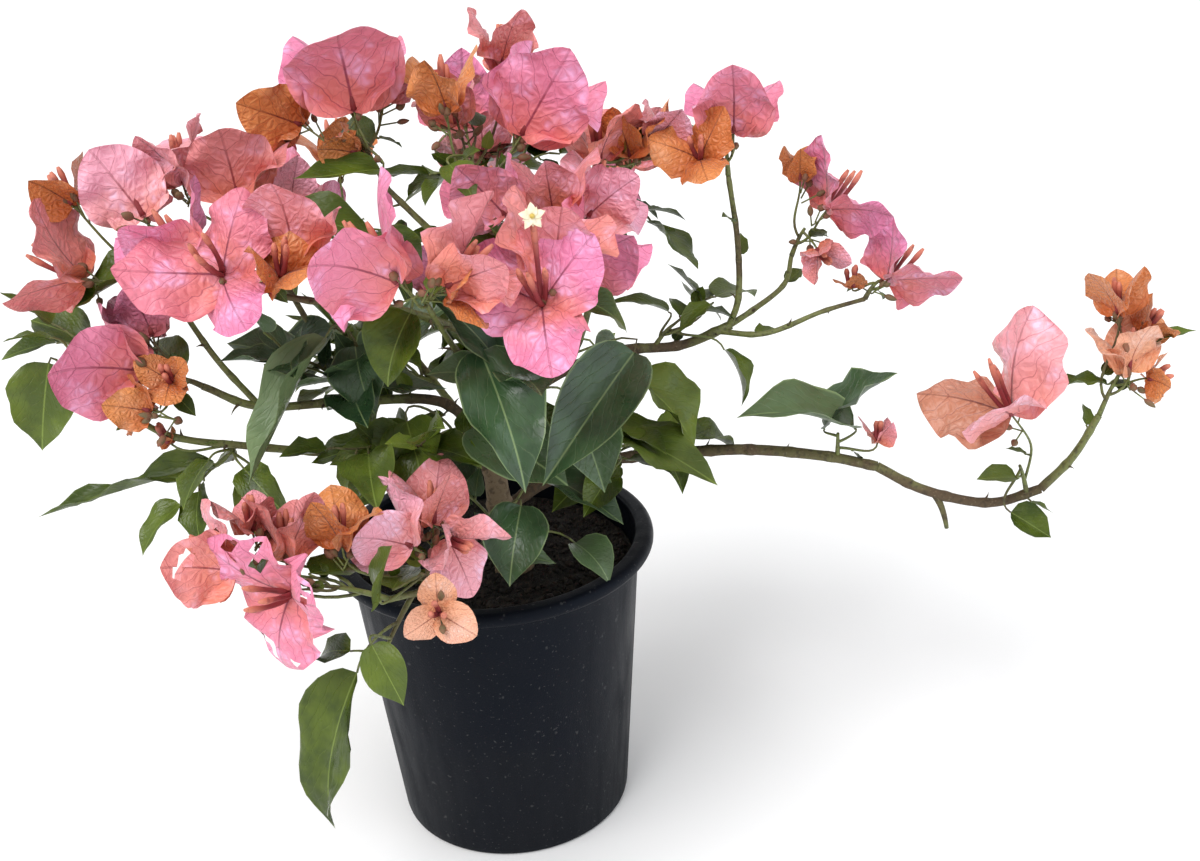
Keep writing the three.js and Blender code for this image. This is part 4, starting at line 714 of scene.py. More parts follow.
def tubes(paths, radii, sides):
    """Round tubes: each ring is its centre plus radius times cosine and sine of the turn.

    paths is (count, rows, 3) and radii (count, rows) or (count, rows, sides).
    """
    _, side, across = path_frames(paths)
    turn = np.linspace(0, 2 * np.pi, sides, endpoint=False)
    radii = radii if radii.ndim == 3 else radii[:, :, None]
    ring = side[:, :, None] * np.cos(turn)[:, None] + across[:, :, None] * np.sin(turn)[:, None]
    points = paths[:, :, None] + ring * radii[..., None]
    return points.reshape(-1, 3), tube_faces(*paths.shape[:2], sides)


def outline(s, kind):
    """Half width of a blade, of its greatest, at s along the rib.

    A quarter ellipse up to the widest place, then a flatter one that ends in a short drawn-out tip.
    """
    widest, fall, point = OUTLINES[kind]
    lower = np.sqrt(np.clip(1 - (1 - s / widest) ** 2, 0, 1))
    high = np.clip((s - widest) / (1 - widest), 0, 1)
    return np.where(s < widest, lower, (1 - high**fall) ** point)


def blades(rows_in, kind, rows, cols, ripple, noise):
    """Leaves or bracts from rows of foot, along, face, length, width, bend, cup and tears.

    The rib bends away from the face by the bend in all. Across it the blade lifts by the cup, its
    margin waves along its length, the skin swells between side veins, the tip curls, and the
    heart-shaped foot turns back past the stalk. Returns points, faces and two pairs of the blade's
    own coordinates: flat keeps its outline, and span runs from margin to margin.
    """
    data = np.array(rows_in)
    count = len(data)
    foot, along, face = (data[:, None, None, k : k + 3] for k in (0, 3, 6))
    length, width, bend, cup = (data[:, None, None, k : k + 1] for k in (9, 10, 11, 12))
    side = np.cross(along, face)
    even = np.linspace(0, 1, rows)[None, :, None, None]
    s = lerp(even, 0.5 - 0.5 * np.cos(np.pi * even), 0.7)
    t = np.sin(np.pi / 2 * np.linspace(-1, 1, cols) * 0.8) / math.sin(0.4 * np.pi)
    t = t[None, None, :, None]
    half = outline(s, kind)
    w = t * half * width / 2
    phase = noise.uniform(0, 2 * np.pi, (3, count, 1, 1, 1))
    pace = noise.uniform(1.6, 2.8, (count, 1, 1, 1))
    height = noise.uniform(0.5, 1.3, (count, 1, 1, 1)) * ripple
    twist = noise.normal(0, 0.22, (count, 1, 1, 1)) * s
    angle = bend * s
    facing = face * np.cos(angle) + along * np.sin(angle)
    ahead = along * np.cos(angle) - face * np.sin(angle)
    run, drop = np.sin(angle) / bend, (1 - np.cos(angle)) / bend
    across = side * np.cos(twist) + facing * np.sin(twist)
    facing = facing * np.cos(twist) - side * np.sin(twist)
    margin = np.abs(t) ** 2.2 * np.sin(2 * np.pi * pace * s + phase[0] + np.sign(t) * phase[1])
    swell = np.sin(2 * np.pi * (4.6 * s - 1.6 * np.abs(t) * half) + phase[2])
    swell = 0.45 * swell * np.abs(t) * (1 - t**4)
    swell = swell + 0.5 * np.sin(2 * np.pi * (1.3 * s + 0.9 * t) + phase[1]) * np.abs(t)
    curl = noise.normal(0, 0.09, (count, 1, 1, 1)) * s**3
    lift = np.abs(w) * np.sin(cup) + length * (height * half * (margin + swell) + curl)
    lobe = LOBES[kind] * length * half * np.abs(t) ** 1.5 * np.exp(-((s / 0.2) ** 2))
    points = foot + (along * run - face * drop) * length + across * w * np.cos(cup) + facing * lift
    points = points - ahead * lobe
    maps = [np.concatenate([0.5 + 0.5 * t * x, s + 0 * t], axis=-1) for x in (half, 1 + 0 * s)]
    flat, span = (np.broadcast_to(m, (count, rows, cols, 2)).reshape(-1, 2) for m in maps)
    faces = grid_faces(count, rows, cols, False)[~tears(data[:, 13], rows, cols, noise).ravel()]
    return points.reshape(-1, 3), [faces], flat, span


def tears(wanted, rows, cols, noise):
    """Which quads of each blade are torn out: those inside as many ellipses as it has tears."""
    places = noise.uniform([0.3, -0.8, 0.03, 0.12], [0.85, 0.8, 0.08, 0.28], (len(wanted), 3, 4))
    s = (np.arange(rows - 1) + 0.5)[:, None] / (rows - 1)
    t = (np.arange(cols - 1) + 0.5)[None, :] / (cols - 1) * 2 - 1
    s0, t0, high, wide = (places[..., k, None, None] for k in range(4))
    inside = ((s - s0) / high) ** 2 + ((t - t0) / wide) ** 2 < 1
    return (inside & (np.arange(3)[:, None, None] < wanted[:, None, None, None])).any(axis=1)


def atlas(flat, count):
    """Each blade's flat coordinates moved into its own cell of a square sheet of cells."""
    cells = math.ceil(math.sqrt(count))
    each = np.repeat(np.arange(count), len(flat) // count)
    corner = np.stack([each % cells, each // cells], axis=1)
    return (corner + 0.05 + 0.9 * flat) / cells


def eggs(centres, axes, lengths, radii, rows=6, sides=6):
    """Closed egg shapes: rings whose radius follows the root of a sine along the axis."""
    s = np.linspace(0.02, 0.98, rows)
    paths = centres[:, None] + axes[:, None] * (s[None, :, None] * lengths[:, None, None])
    rings = radii[:, None] * np.sin(np.pi * s[None, :] ** 0.8) ** 0.6
    return tubes(paths, rings, sides)


def new_piece(
    name, points, faces, material, uvs=(), values=(), replaced=(), smooth=True
):
    """A joined mesh from arrays, in the frame, riding on the plant's body."""
    mesh = bpy.data.meshes.new(name)
    used, corners = np.unique(np.concatenate([f.ravel() for f in faces]), return_inverse=True)
    corners = corners.ravel().astype(np.int32)
    points = points[used]
    sizes = np.concatenate([np.full(len(f), f.shape[1]) for f in faces])
    mesh.vertices.add(len(points))
    mesh.vertices.foreach_set("co", (points * MM).astype(np.float32).ravel())
    mesh.loops.add(len(corners))
    mesh.loops.foreach_set("vertex_index", corners)
    mesh.polygons.add(len(sizes))
    mesh.polygons.foreach_set("loop_start", (np.cumsum(sizes) - sizes).astype(np.int32))
    mesh.update(calc_edges=True)
    for label, coordinates in dict(uvs).items():
        layer = mesh.uv_layers.new(name=label)
        layer.data.foreach_set("uv", coordinates[used][corners].astype(np.float32).ravel())
    for label, numbers in dict(values).items():
        layer = mesh.attributes.new(label, "FLOAT", "POINT")
        layer.data.foreach_set("value", numbers[used].astype(np.float32).ravel())
    mesh.polygons.foreach_set("use_smooth", np.full(len(sizes), smooth))
    if mesh.validate():
        raise RuntimeError(f"{name} has faulty faces")
    mesh.materials.append(material)
    piece = bpy.data.objects.new(name, mesh)
    bpy.context.scene.collection.objects.link(piece)
    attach(piece, "root")
    if replaced:
        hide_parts(*replaced)
    return piece


# ---- finishes ----


class Signal:
    """A number or colour that a material's nodes work out."""

    def __init__(self, socket):
        self.socket = socket

    def calc(self, operation, *values):
        """The result of a Math node."""
        made = node(self.socket.id_data, "Math", enumerate(values), operation=operation)
        return Signal(made.outputs[0])

    def __add__(self, other):
        return self.calc("ADD", self, other)

    def __sub__(self, other):
        return self.calc("SUBTRACT", self, other)

    def __rsub__(self, other):
        return self.calc("SUBTRACT", other, self)

    def __mul__(self, other):
        return self.calc("MULTIPLY", self, other)

    def __abs__(self):
        return self.calc("ABSOLUTE", self)

    def over(self, other):
        """The larger of the two."""
        return self.calc("MAXIMUM", self, other)

    def step(self, low, high, first=0.0, last=1.0):
        """A smooth step from first at low to last at high."""
        sockets = dict(zip(("From Min", "From Max", "To Min", "To Max"), (low, high, first, last)))
        sockets["Value"] = self
        made = node(self.socket.id_data, "MapRange", sockets, interpolation_type="SMOOTHSTEP")
        return Signal(made.outputs["Result"])

    def mix(self, first, last):
        """The colour at this share of the way from first to last, signals or three numbers."""
        ends = (end if isinstance(end, Signal) else (*end, 1) for end in (first, last))
        sockets = {"Factor": self, **dict(zip((6, 7), ends))}
        return Signal(node(self.socket.id_data, "Mix", sockets, data_type="RGBA").outputs[2])


def node(tree, kind, inputs=(), **settings):
    """A shader node with its settings, its sockets set to values or joined to other sockets."""
    made = tree.nodes.new("ShaderNode" + kind)
    for label, value in settings.items():
        setattr(made, label, value)
    for socket, value in dict(inputs).items():
        value = getattr(value, "socket", value)
        if isinstance(value, bpy.types.NodeSocket):
            tree.links.new(value, made.inputs[socket])
        else:
            made.inputs[socket].default_value = value
    return made


def spots(tree, scale, detail=3.0, where=None):
    """Noise between 0 and 1 on object coordinates, in features to the metre."""
    where = where or node(tree, "TexCoord").outputs["Object"]
    sockets = {"Vector": where, "Scale": scale, "Detail": detail}
    return Signal(node(tree, "TexNoise", sockets).outputs["Fac"])


def told(tree, name):
    """A number that the mesh tells for each of its points."""
    return Signal(node(tree, "Attribute", attribute_name=name).outputs["Fac"])


def parted(tree, vector):
    """The three numbers of a vector."""
    return [Signal(out) for out in node(tree, "SeparateXYZ", {"Vector": vector}).outputs]


def finish(name, look, *values):
    """A material from what look gives: Principled sockets and, as height and depth, a bump."""
    material = bpy.data.materials.new(name)
    material.use_nodes = True
    tree = material.node_tree
    tree.nodes.clear()
    sockets = look(tree, *values)
    if "height" in sockets:
        bump = {"Height": sockets.pop("height"), "Distance": sockets.pop("depth"), "Strength": 1.0}
        sockets["Normal"] = node(tree, "Bump", bump).outputs["Normal"]
    surface = node(tree, "BsdfPrincipled", sockets)
    node(tree, "OutputMaterial", {"Surface": surface.outputs[0]})
    return material


def veins(tree, count, slant, arch, cell_scale):
    """Place along the blade, shares of midrib, side veins and net, and the skin's bulge between.

    Works on the blade's own coordinates, moved by noise so that the veins wander. Side veins are
    lines of equal height minus slant times the distance from the midrib and arch times its square.
    """
    flat = node(tree, "UVMap", uv_map="Blade").outputs["UV"]
    noise = node(tree, "TexNoise", {"Vector": flat, "Scale": 4.0, "Detail": 3.0}).outputs["Color"]
    offset = node(tree, "VectorMath", {0: noise, 1: (0.5, 0.5, 0.5)}, operation="SUBTRACT")
    small = node(tree, "VectorMath", {0: offset.outputs[0], "Scale": 0.16}, operation="SCALE")
    moved = node(tree, "VectorMath", {0: flat, 1: small.outputs[0]}, operation="ADD").outputs[0]
    across, up, _ = parted(tree, moved)
    true_across, along, _ = parted(tree, flat)
    rib = 1.0 - abs(true_across - 0.5).step(0.003, 0.018)
    far = abs(across - 0.5)
    wave = (up - far * slant - far * far * arch) * count
    wave = wave.calc("PINGPONG", wave, 0.5)
    side = 1.0 - wave.step(0.005, 0.05)
    cells = {"Vector": moved, "Scale": cell_scale}
    net = node(tree, "TexVoronoi", cells, feature="DISTANCE_TO_EDGE", voronoi_dimensions="2D")
    net = Signal(net.outputs["Distance"])
    bulge = net.step(0.0, 0.4) * wave.step(0.0, 0.3)
    return along, rib, side, 1.0 - net.step(0.0, 0.07), bulge


def bract_look(tree, tip, foot, vein, painted_highlight):
    """Papery bract: veins pressed in, the skin between them raised, a pale painted highlight in
    patches.
    """
    along, rib, side, net, bulge = veins(tree, 4.6, 0.75, 1.5, 9.0)
    body = (along + spots(tree, 45.0) * 0.9).step(0.4, 1.15).mix(foot, tip)
    body = (told(tree, "tone") * 0.6).mix(body, foot)
    # Painted highlight: a pale colour mixed into the base colour in noise patches, with more of it
    # on the raised skin between the veins.
    painted_highlight_share = spots(tree, 75.0).step(0.48, 0.68) * 0.7
    body = (painted_highlight_share * bulge.step(0.0, 1.0, 0.45, 1.0)).mix(body, painted_highlight)
    strong = rib * along.step(0.35, 0.75, 0.85, 0.3)
    drawn = strong.over(side * 0.6).over(net * 0.2)
    height = spots(tree, 420.0, 4.0) * 0.6 + bulge * 0.6 - rib * 0.5
    return {"Base Color": drawn.mix(body, vein), "Roughness": 0.42, "height": height,
            "depth": 0.0007, "Specular IOR Level": 0.45, "Sheen Weight": 0.15,
            "Sheen Roughness": 0.4}


def leaf_look(tree, base, shade, pale, margin, gloss):
    """Glossy leaf: blotched green, pale midrib and margin, side veins pressed in."""
    _, rib, side, _, bulge = veins(tree, 6.0, 0.9, 1.2, 12.0)
    span, _, _ = parted(tree, node(tree, "UVMap", uv_map="Span").outputs["UV"])
    rim = abs(span - 0.5).step(0.465, 0.495)
    body = spots(tree, 60.0).step(0.35, 0.65).mix(shade, base)
    body = (told(tree, "tone") * 0.25).mix(body, pale)
    drawn = (rib * 0.6).over(side * 0.10).over(rim * margin)
    return {"Base Color": drawn.mix(body, pale), "Specular IOR Level": gloss,
            "Roughness": spots(tree, 90.0).step(0.3, 0.7, 0.26, 0.42),
            "height": bulge * 0.2 - side * 0.25, "depth": 0.0004}


def bark_look(tree, old, young, depth):
    """Bark: brown and ridged where the limb is old, smooth green where it is young."""
    mottle = spots(tree, 160.0, 5.0) + spots(tree, 22.0).step(0.42, 0.6)
    share = (told(tree, "age") + mottle * 0.5).step(0.3, 0.95)
    speck = spots(tree, 900.0, 2.0).step(0.6, 0.72, 0.0, 0.5)
    colour = speck.mix(share.mix(young, old), (0.24, 0.20, 0.13))
    crack = spots(tree, 420.0, 6.0)
    colour = crack.step(0.5, 0.36, 0.0, 0.55).mix(colour, (0.035, 0.026, 0.016))
    return {"Base Color": colour, "Roughness": share.step(0.0, 1.0, 0.5, 0.85),
            "height": crack, "depth": depth}


def tube_look(tree):
    """Flower tube: dark wine red with coral towards the tip and dark streaks."""
    streak = spots(tree, 300.0)
    colour = told(tree, "age").step(0.45, 0.95).mix((0.24, 0.03, 0.035), (0.62, 0.20, 0.13))
    colour = streak.step(0.5, 0.7, 0.0, 0.5).mix(colour, (0.12, 0.02, 0.02))
    return {"Base Color": colour, "Roughness": 0.6, "height": streak, "depth": 0.0002}


def mottled_look(tree, scale, first, last, rough, depth):
    """Two colours in soft blotches that also make the relief, for buds and petals."""
    mottle = spots(tree, scale)
    colour = mottle.step(0.35, 0.65).mix(first, last)
    return {"Base Color": colour, "Roughness": rough, "height": mottle, "depth": depth}


def pot_look(tree, dust):
    """Satin blue-black plastic with dust that lies thicker low down, pale specks and scuffs."""
    place = node(tree, "TexCoord").outputs["Object"]
    tall = node(tree, "Mapping", {"Vector": place, "Scale": (1, 1, 0.12)}).outputs[0]
    streak = spots(tree, 150.0, 4.0, tall)
    low = parted(tree, place)[2].step(0.0, 0.13, 0.5, 0.1)
    film = (spots(tree, 26.0, 6.0) + low).step(0.45, 1.1) * dust
    film = film + streak.step(0.55, 0.8) * (dust * 0.5)
    speck = spots(tree, 650.0, 2.0).step(0.66, 0.74, 0.0, 0.4)
    speck = speck.over(spots(tree, 210.0).step(0.68, 0.74, 0.0, 0.35))
    plastic = film.mix((0.0025, 0.0035, 0.007), (0.016, 0.016, 0.016))
    # The bluish Specular Tint is a painted reflection colour: it tints every reflection cool blue,
    # like the light on the pot's right side.
    return {"Base Color": speck.mix(plastic, (0.09, 0.09, 0.09)),
            "Roughness": film * 0.5 + streak.step(0.3, 0.7, 0.33, 0.46),
            "height": spots(tree, 1500.0, 2.0), "depth": 0.00012,
            "Specular IOR Level": 0.1, "Specular Tint": (0.72, 0.84, 1.0, 1.0)}


def soil_look(tree, dark, light):
    """Moist compost: near-black crumbs with brown bark among them."""
    colour = spots(tree, 300.0, 5.0).step(0.42, 0.66).mix(dark, light)
    return {"Base Color": colour, "Roughness": 0.88, "height": spots(tree, 800.0, 5.0),
            "depth": 0.0012}


def floor_look(tree):
    """Pale, nearly even ground."""
    colour = spots(tree, 3.0).mix((0.93, 0.93, 0.93), (0.96, 0.96, 0.96))
    return {"Base Color": colour, "Roughness": 0.8}


# ---- the pieces ----


def age_of(radius):
    """How woody a twig or limb is, from its radius in millimetres."""
    return np.clip((radius - 2.2) / 1.2, 0, 1)


def limb_piece(name, limbs, relief, material, seed):
    """Limbs as round tubes with ridged bark.

    The radius tapers along the limb, flares at the stem's foot, swells at each node and carries
    ridges that are sums of sines of the turn and the distance.
    """
    rows, sides = LIMB_GRID
    noise = np.random.default_rng(seed)
    paths = np.stack([limb_path(limb, rows - 1) for limb in limbs])
    ends = np.array([limb.radii for limb in limbs])
    run = np.linspace(0, 1, rows)[None, :]
    taper = lerp(ends[:, :1], ends[:, 1:], run)
    height = paths[:, :, 2] - paths[:, :1, 2]
    rooted = np.array([[limb.on is None] for limb in limbs])
    radii = taper + rooted * STEM_FLARE * np.exp(-np.maximum(height, 0) / STEM_FLARE_HEIGHT)
    lengths = np.linalg.norm(np.diff(paths, axis=1), axis=2).sum(axis=1)[:, None]
    far = run * lengths
    turn = np.linspace(0, 2 * np.pi, sides, endpoint=False)[None, None, :]
    phase = noise.uniform(0, 2 * np.pi, (4, len(limbs), 1, 1))
    d = far[:, :, None]
    ridge = np.sin(3 * turn + phase[0] + 0.9 * np.sin(0.13 * d + phase[1]))
    ridge = ridge + 0.6 * np.sin(7 * turn - phase[2] + 0.35 * d) * np.sin(0.21 * d + phase[3])
    swell = np.exp(-(((far % NODE_STEP) - FIRST_NODE) ** 2) / 5)[:, :, None]
    radii = radii[:, :, None] * (1 + relief * ridge + 0.14 * swell)
    points, faces = tubes(paths, radii, sides)
    age = np.repeat(age_of(taper).ravel(), sides)
    names = [limb.name for limb in limbs]
    return new_piece(name, points, faces, material, values={"age": age}, replaced=names)


def blade_piece(name, rows_in, kind, ripple, material, seed):
    """All blades of one colour, with their own coordinates, a sheet of cells and a tone each.

    The same surface is worked out on a fine and a coarse grid, and short blades take the coarse.
    """
    count = len(rows_in)
    short = np.array([row[9] < SHORT_BLADE for row in rows_in])
    parts, quads, start = [], [], 0
    for (rows, cols), chosen in zip(BLADE_GRIDS[kind], (~short, short)):
        noise = np.random.default_rng(seed)
        points, faces, flat, span = blades(rows_in, kind, rows, cols, ripple, noise)
        tone = np.repeat(noise.uniform(0, 1, count) ** 1.5, rows * cols)
        parts.append((points, atlas(flat, count), flat, span, tone))
        quads.append(faces[0][chosen[faces[0][:, 0] // (rows * cols)]] + start)
        start += len(points)
    points, sheet, flat, span, tone = (np.concatenate(each) for each in zip(*parts))
    maps = {"OFBake": sheet, "Blade": flat, "Span": span}
    return new_piece(name, points, [np.concatenate(quads)], material, maps, {"tone": tone})


def revolve(profile, sides):
    """Points and faces of a profile of radius and height turned about the upright axis."""
    profile = np.array(profile, float)
    turn = np.linspace(0, 2 * np.pi, sides, endpoint=False)
    radius = np.maximum(profile[:, :1], 0.01)
    height = np.broadcast_to(profile[:, 1:], (len(profile), sides))
    points = np.stack([radius * np.cos(turn), radius * np.sin(turn), height], axis=-1)
    return points.reshape(-1, 3), tube_faces(1, len(profile), sides)


def arc(centre, radius, first, last, count=7):
    """Points of a circle's arc in the half section, between two angles in degrees."""
    a = np.radians(np.linspace(first, last, count))
    return [(centre[0] + radius * math.cos(x), centre[1] + radius * math.sin(x)) for x in a]


def pot_profile():
    """The pot's half section from the middle of its underside round to the middle of its floor."""
    lip = POT_HEIGHT - LIP_HEIGHT

    def wall(heights, inset):
        """Points at these heights on the wall's slope, this far inside its outer face."""
        return [(lerp(POT_BASE_RADIUS, POT_BODY_TOP_RADIUS, z / lip) - inset, z) for z in heights]

    outer = POT_RIM_RADIUS - 2.4
    inner = POT_BODY_TOP_RADIUS - POT_WALL + 0.8
    return [
        (0, 1.2), (40, 1.2), (POT_BASE_RADIUS - 8, 1.2),
        *arc((POT_BASE_RADIUS - 5, 1.2), 1.2, 180, 270, 4),
        *arc((POT_BASE_RADIUS - 2.6, 2.6), 2.6, 270, 355),
        *wall(np.linspace(4, lip - 6, 30), 0),
        (POT_BODY_TOP_RADIUS - 0.1, lip - 2.5), (POT_BODY_TOP_RADIUS + 0.4, lip - 0.6),
        *arc((POT_BODY_TOP_RADIUS + 2.0, lip - 0.4), 1.4, 180, 110, 4),
        *arc((outer, lip + 3.4), 2.4, 290, 360),
        *arc((outer - 1.4, POT_HEIGHT - 3.8), 3.8, 0, 90),
        *arc((inner + 2.2, POT_HEIGHT - 2.2), 2.2, 90, 180),
        *wall(np.linspace(lip - 4, 3, 24), POT_WALL), (POT_BASE_RADIUS - 8, 2.4), (0, 2.4),
    ]


def crumbs(count, radius, noise):
    """Small lumps of compost: short five-sided eggs, most of them lying, thrown over a disc."""
    far = radius * np.sqrt(noise.uniform(0, 1, count))
    turn = noise.uniform(0, 2 * np.pi, count)
    height = SOIL_TOP + soil_height(far, turn) + noise.uniform(-0.6, 0.9, count)
    centres = np.stack([far * np.cos(turn), far * np.sin(turn), height], axis=1)
    axes = unit(noise.normal(0, 1, (count, 3)) * [1, 1, 0.4])
    lengths = noise.gamma(3.0, 0.9, count) + 1.2
    lengths = np.minimum(lengths, 9)
    radii = lengths * noise.uniform(0.22, 0.4, count)
    return eggs(centres - axes * lengths[:, None] / 2, axes, lengths, radii, 5, 5)


def soil_height(far, turn):
    """Gentle mounds: sines of the place, and a rise round the stem."""
    x, y = far * np.cos(turn), far * np.sin(turn)
    rise = 2.2 * np.exp(-(((x - 10) ** 2 + (y + 12) ** 2) / 500))
    rise = rise + np.sin(0.11 * x + 1) * np.cos(0.09 * y)
    return rise + 0.7 * np.sin(0.31 * x) * np.sin(0.27 * y + 2) - 1.6


def star_flower():
    """The axis of the one open flower and its cream lobes as thin curved blades."""
    axis = unit(np.array(STAR_AXIS))
    first = square_to(UP, axis)
    rows = []
    for k in range(PETALS):
        out = turned(first, axis, 360 // PETALS * k)
        along, face = unit(out + 0.15 * axis), unit(axis - 0.15 * out)
        length = PETAL_LENGTHS[k % 2]
        rows.append([*STAR, *along, *face, length, length * PETAL_WIDTH, 0.5, 0.2, 0])
    return axis, rows


# ---- settings and operators ----


class PlantSettings(bpy.types.PropertyGroup):
    """What the plant's looks are driven by."""

    bract_ripple: FloatProperty(
        name="Bract ripple", description="Height of the bracts' waves, of their length",
        default=0.085, min=0.0, max=0.2,
    )
    leaf_ripple: FloatProperty(
        name="Leaf ripple", description="Height of the leaves' waves, of their length",
        default=0.045, min=0.0, max=0.2,
    )
    bark_relief: FloatProperty(
        name="Bark relief", description="Height of the ridges, of the limb's radius",
        default=0.05, min=0.0, max=0.2,
    )
    crumb_count: IntProperty(
        name="Crumbs", description="Lumps of compost on the soil", default=2200, min=0, max=6000,
    )
    dust: FloatProperty(
        name="Dust", description="How dusty the pot is", default=0.35, min=0.0, max=1.0,
    )
    key_strength: FloatProperty(
        name="Key light", description="Strength of the soft sun", default=2.3, min=0.0,
    )
    fill_power: FloatProperty(
        name="Fill light", description="Power of the lamp at the right", default=9.0, min=0.0,
        unit="POWER",
    )
    sky_share: FloatProperty(
        name="Sky", description="Light from the sky, of its brightness",
        default=0.72, min=0.0, max=1.0,
    )


class PLANT_OT_limbs(bpy.types.Operator):
    """Adds the woody stem and the boughs with their bark."""

    bl_idname = "plant.limbs"
    bl_label = "Stem and boughs"

    def execute(self, context):
        relief = context.scene.plant.bark_relief
        old, young = (finish(name, bark_look, *BARKS[name]) for name in ("bark", "bough_bark"))
        limb_piece("stem_bark", LIMBS[:1], relief, old, STEM_SEED)
        limb_piece("boughs", LIMBS[1:], relief, young, BOUGH_SEED)
        return {"FINISHED"}


class PLANT_OT_twigs(bpy.types.Operator):
    """Adds the masses' stems, twigs, stalks and thorns."""

    bl_idname = "plant.twigs"
    bl_label = "Twigs and thorns"

    def execute(self, context):
        growth = grown()
        paths = np.stack([path for path, _ in growth.twigs])
        ends = np.array([radii for _, radii in growth.twigs])
        run = np.linspace(0, 1, paths.shape[1])[None, :]
        radii = lerp(ends[:, :1], ends[:, 1:], run)
        points, faces = tubes(paths, radii, TWIG_SIDES)
        values = {"age": np.repeat(age_of(radii).ravel(), TWIG_SIDES)}
        material = finish("twig_bark", bark_look, *BARKS["twig_bark"])
        masses = [mass.name for mass in MASSES]
        new_piece(
            "twigs", points, faces, material, values=values, replaced=masses
        )
        thorns = np.stack(growth.thorns)
        radii = np.broadcast_to(np.linspace(0.9, 0.08, thorns.shape[1]), thorns.shape[:2])
        points, faces = tubes(thorns, radii, 5)
        values = {"age": np.full(len(points), 0.5)}
        new_piece("thorns", points, faces, material, values=values)
        return {"FINISHED"}


class PLANT_OT_leaves(bpy.types.Operator):
    """Adds the leaves, one piece for each tone."""

    bl_idname = "plant.leaves"
    bl_label = "Leaves"

    def execute(self, context):
        ripple = context.scene.plant.leaf_ripple
        for i, (tone, rows) in enumerate(grown().leaves.items()):
            look, seed = finish("leaf_" + tone, leaf_look, *LEAVES[tone]), LEAF_SEED + i
            blade_piece("leaves_" + tone, rows, "leaf", ripple, look, seed)
        return {"FINISHED"}


class PLANT_OT_bracts(bpy.types.Operator):
    """Adds the papery bracts, one piece for each tint."""

    bl_idname = "plant.bracts"
    bl_label = "Bracts"

    def execute(self, context):
        ripple = context.scene.plant.bract_ripple
        for i, (tint, rows) in enumerate(grown().bracts.items()):
            look, seed = finish("bract_" + tint, bract_look, *BRACTS[tint]), BRACT_SEED + i
            blade_piece("bracts_" + tint, rows, "bract", ripple, look, seed)
        return {"FINISHED"}


class PLANT_OT_flowers(bpy.types.Operator):
    """Adds the flower tubes, the buds and the one open flower."""

    bl_idname = "plant.flowers"
    bl_label = "Flowers and buds"

    def execute(self, context):
        growth = grown()
        star = bezier([STAR_FOOT, lerp(STAR_FOOT, STAR, 0.6), STAR], TUBE_STEPS)
        paths = np.stack([*growth.tubes, star])
        run = np.linspace(0, 1, paths.shape[1])
        shape = 1.25 + 0.12 * np.cos(2 * np.pi * run)
        shape = shape + 0.35 * np.exp(-(((run - 0.8) / 0.14) ** 2)) - 0.7 * run**10
        points, faces = tubes(paths, np.broadcast_to(shape, paths.shape[:2]), TUBE_SIDES)
        material = finish("flower_tube", tube_look)
        values = {"age": np.tile(np.repeat(run, TUBE_SIDES), len(paths))}
        new_piece("flower_tubes", points, faces, material, values=values)
        buds = np.array(growth.buds)
        points, faces = eggs(buds[:, :3], buds[:, 3:6], buds[:, 6], buds[:, 7])
        brown, wine = (0.15, 0.11, 0.05), (0.22, 0.09, 0.05)
        material = finish("bud", mottled_look, 260.0, brown, wine, 0.7, 0.0003)
        new_piece("buds", points, faces, material)
        axis, rows = star_flower()
        noise = np.random.default_rng(STAR_SEED)
        points, faces, flat, _ = blades(rows, "leaf", 7, 5, 0.05, noise)
        cream, gold = (
            finish(name, mottled_look, 400.0, *colours, 0.5, 0.0001)
            for name, colours in FLOWER_COLOURS.items()
        )
        maps = {"OFBake": atlas(flat, len(rows))}
        new_piece("open_flower", points, faces, cream, maps)
        points, faces = eggs(STAR[None], axis[None], np.array([2.0]), np.array([1.1]), 6, 10)
        new_piece("flower_heart", points, faces, gold)
        return {"FINISHED"}


class PLANT_OT_pot(bpy.types.Operator):
    """Adds the turned plastic pot with its rolled lip."""

    bl_idname = "plant.pot"
    bl_label = "Pot"

    def execute(self, context):
        points, faces = revolve(pot_profile(), POT_SIDES)
        material = finish("pot_plastic", pot_look, context.scene.plant.dust)
        new_piece("nursery_pot", points, faces, material, replaced=["pot"])
        return {"FINISHED"}


class PLANT_OT_soil(bpy.types.Operator):
    """Adds the mounded compost and its crumbs."""

    bl_idname = "plant.soil"
    bl_label = "Soil"

    def execute(self, context):
        noise = np.random.default_rng(SOIL_SEED)
        radius = POT_BODY_TOP_RADIUS - POT_WALL - 1.6
        rings, sides = SOIL_GRID
        far = np.linspace(0.01, radius, rings)[:, None]
        turn = np.linspace(0, 2 * np.pi, sides, endpoint=False)[None, :]
        grain = noise.normal(0, 0.35, SOIL_GRID) * (far > 1)
        height = SOIL_TOP + soil_height(far, turn) + grain
        points = np.stack([far * np.cos(turn), far * np.sin(turn), height], axis=-1).reshape(-1, 3)
        faces = [grid_faces(1, rings, sides, True)[:, ::-1]]
        ground = finish("compost", soil_look, (0.006, 0.005, 0.004), (0.020, 0.014, 0.010))
        new_piece("compost", points, faces, ground, replaced=["soil"])
        points, faces = crumbs(context.scene.plant.crumb_count, radius - 3, noise)
        lumps = finish("crumbs", soil_look, (0.008, 0.006, 0.005), (0.034, 0.024, 0.017))
        new_piece("crumbs", points, faces, lumps, smooth=False)
        return {"FINISHED"}


